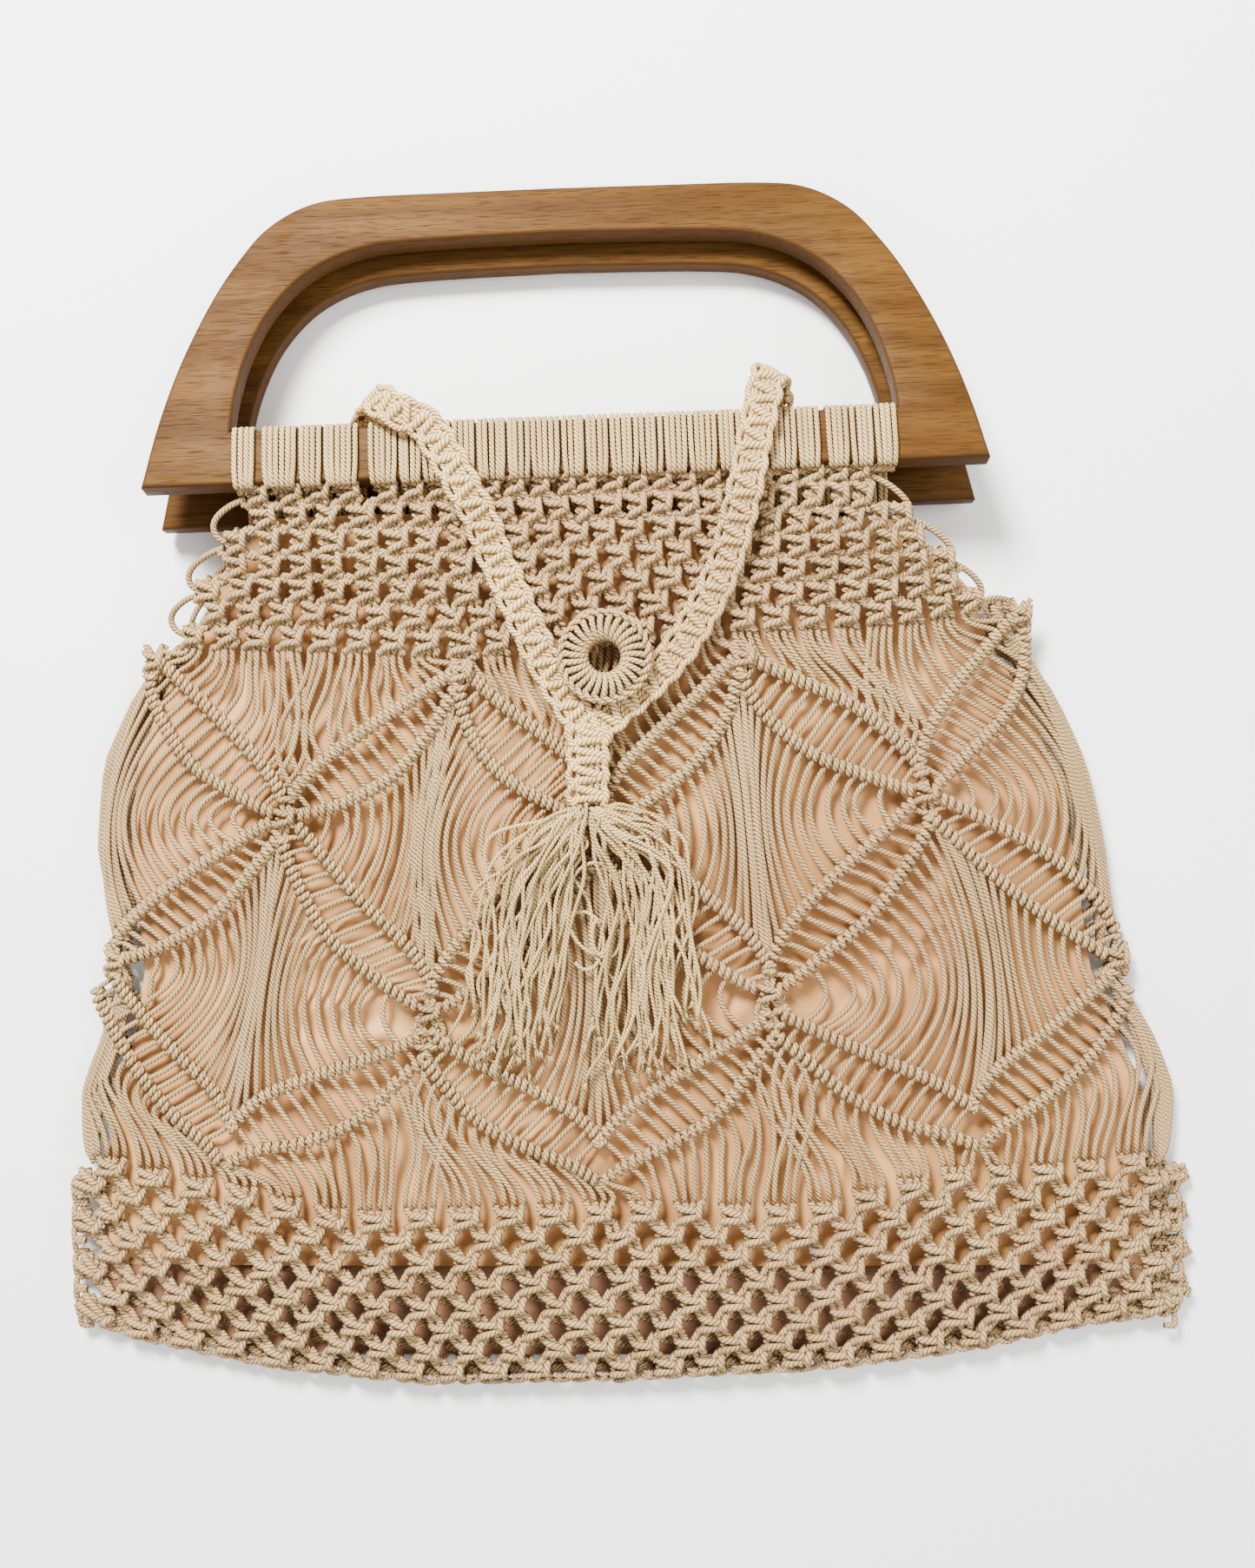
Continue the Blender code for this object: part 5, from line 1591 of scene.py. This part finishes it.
class HANDBAG_OT_ring(bpy.types.Operator):
    """Cord-bound ring button"""

    bl_idname = "handbag.ring"
    bl_label = "Ring button"

    def execute(self, context):
        cords = Cords(seed=51)
        middle = middle_of_ring()
        inner, outer = RING_HOLE / 2 + 0.0008, RING_OUTER / 2 - 0.0022
        ring_bindings(cords, middle, inner, outer)
        ring_rim(cords, middle, outer)
        cords.piece("ring_cords", cotton("bag_cotton"), "strap_cord", "ring_button")
        return {"FINISHED"}


def tassel_thread(cords, number, lock, radius):
    """One thread of a lock, from the strap's neck over the bend to the tip; gives its last points."""
    draw = cords.draw
    head = plan(*TASSEL_HEAD)
    bend = plan(*lock[1:3]) + draw.normal(0, 1, 2) * [0.0046, 0.0062]
    tip = plan(*lock[3:5]) + draw.normal(0, 1, 2) * [0.0050, 0.0075]
    fan = (number - (len(LOCKS) - 1) / 2) / 3.5
    start = head + [0.0042 * fan + draw.normal(0, 0.0008), draw.normal(0, 0.001)]
    first = start + (bend - start) * 0.42 + [0, draw.normal(0.0012, 0.0028)]
    late = bend + (tip - bend) * 0.55 + draw.normal(0, 0.0016, 2)
    xy = np.array([start, first, bend, late, tip])
    lift = THREAD_LIFTS + draw.uniform(0, 1) * THREAD_SPREAD
    line = smooth(raised(xy, front_top(xy) + lift)[None], 7)[0]
    t = np.linspace(0, 1, len(line))
    beat = draw.uniform(5, 11) * t + draw.uniform(0, 6)
    line[:, 0] += draw.uniform(0.0006, 0.0026) * np.sin(2 * beat) * np.minimum(1, 4 * t)
    line[:, 2] += 0.0006 * np.cos(3 * beat) * np.minimum(1, 4 * t)
    cords.add(line, radius, 1, tint=draw.uniform(0.0, 1.0))
    return line[-3:]


def frayed_tip(cords, end):
    """Fine hairs that spread from a thread's end."""
    draw = cords.draw
    ahead = unit(end[-1] - end[0])
    for _ in range(FRAYED_HAIRS):
        spread = draw.normal(0, 0.34, 3) * [1, 1, 0.35]
        hair = unit(ahead + spread) * draw.uniform(0.002, 0.0042)
        path = np.stack([end[-1] - ahead * 0.0008, end[-1] + hair * 0.5,
                         end[-1] + hair + draw.normal(0, 0.0003, 3)])
        path[:, 2] = np.maximum(path[:, 2], front_top(path[:, :2]) + 0.0004)
        cords.add(path, np.array([0.00042, 0.0003, 0.00012]), 1, tint=1.0)


def curled_threads(cords, radius):
    for across, down, turn0, size, grow in CURLS:
        turn = np.linspace(turn0, turn0 + 4.6, 16)
        reach = size * np.linspace(1.0, grow, 16)
        xy = plan(across, down) + np.stack([np.cos(turn) * reach, np.sin(turn) * reach * 1.5], -1)
        z = front_top(xy) + 0.0030 + 0.0014 * np.sin(turn * 0.7)
        cords.add(raised(xy, z), radius, 2, tint=0.9)


class HANDBAG_OT_tassel(bpy.types.Operator):
    """Creamy threads that hang from the strap's neck"""

    bl_idname = "handbag.tassel"
    bl_label = "Tassel"

    def execute(self, context):
        settings = context.scene.handbag_cord
        material = twisted_cord(
            "tassel_cotton", *colours(settings, "tassel_light", "tassel_middle", "dark"),
            settings.lay * 0.6, 2, tuple(settings.strap_middle))
        cords = Cords(seed=61, sides=5)
        radius = settings.thread / 2
        for number, lock in enumerate(LOCKS):
            for _ in range(lock[0]):
                frayed_tip(cords, tassel_thread(cords, number, lock, radius))
        curled_threads(cords, radius)
        cords.piece("tassel_threads", material, "tassel_thread", "tassel")
        return {"FINISHED"}


class HANDBAG_PT_panel(bpy.types.Panel):
    """Lists the bag's pieces and their settings"""

    bl_label = "Knotted handbag"
    bl_idname = "HANDBAG_PT_panel"
    bl_space_type = "VIEW_3D"
    bl_region_type = "UI"
    bl_category = "Handbag"

    def draw(self, context):
        for group in (context.scene.handbag_cord, context.scene.handbag_wood,
                      context.scene.handbag_satin, context.scene.handbag_stage):
            box = self.layout.box()
            for name in group.__annotations__:
                box.prop(group, name)
        for operator in OPERATORS:
            self.layout.operator(operator.bl_idname)


GROUPS = {
    "handbag_cord": HANDBAG_PG_cord,
    "handbag_wood": HANDBAG_PG_wood,
    "handbag_satin": HANDBAG_PG_satin,
    "handbag_stage": HANDBAG_PG_stage,
}
OPERATORS = (
    HANDBAG_OT_stage, HANDBAG_OT_handles, HANDBAG_OT_bar_wraps, HANDBAG_OT_front_net,
    HANDBAG_OT_back_net, HANDBAG_OT_lining, HANDBAG_OT_strap, HANDBAG_OT_ring, HANDBAG_OT_tassel,
)
CLASSES = (*GROUPS.values(), *OPERATORS, HANDBAG_PT_panel)


def register():
    for cls in CLASSES:
        bpy.utils.register_class(cls)
    for name, group in GROUPS.items():
        setattr(bpy.types.Scene, name, bpy.props.PointerProperty(type=group))


def unregister():
    for name in GROUPS:
        delattr(bpy.types.Scene, name)
    for cls in reversed(CLASSES):
        bpy.utils.unregister_class(cls)


def main():
    register()
    for operator in OPERATORS:
        name = operator.bl_idname.split(".")[1]
        getattr(bpy.ops.handbag, name)()


if __name__ == "__main__":
    main()
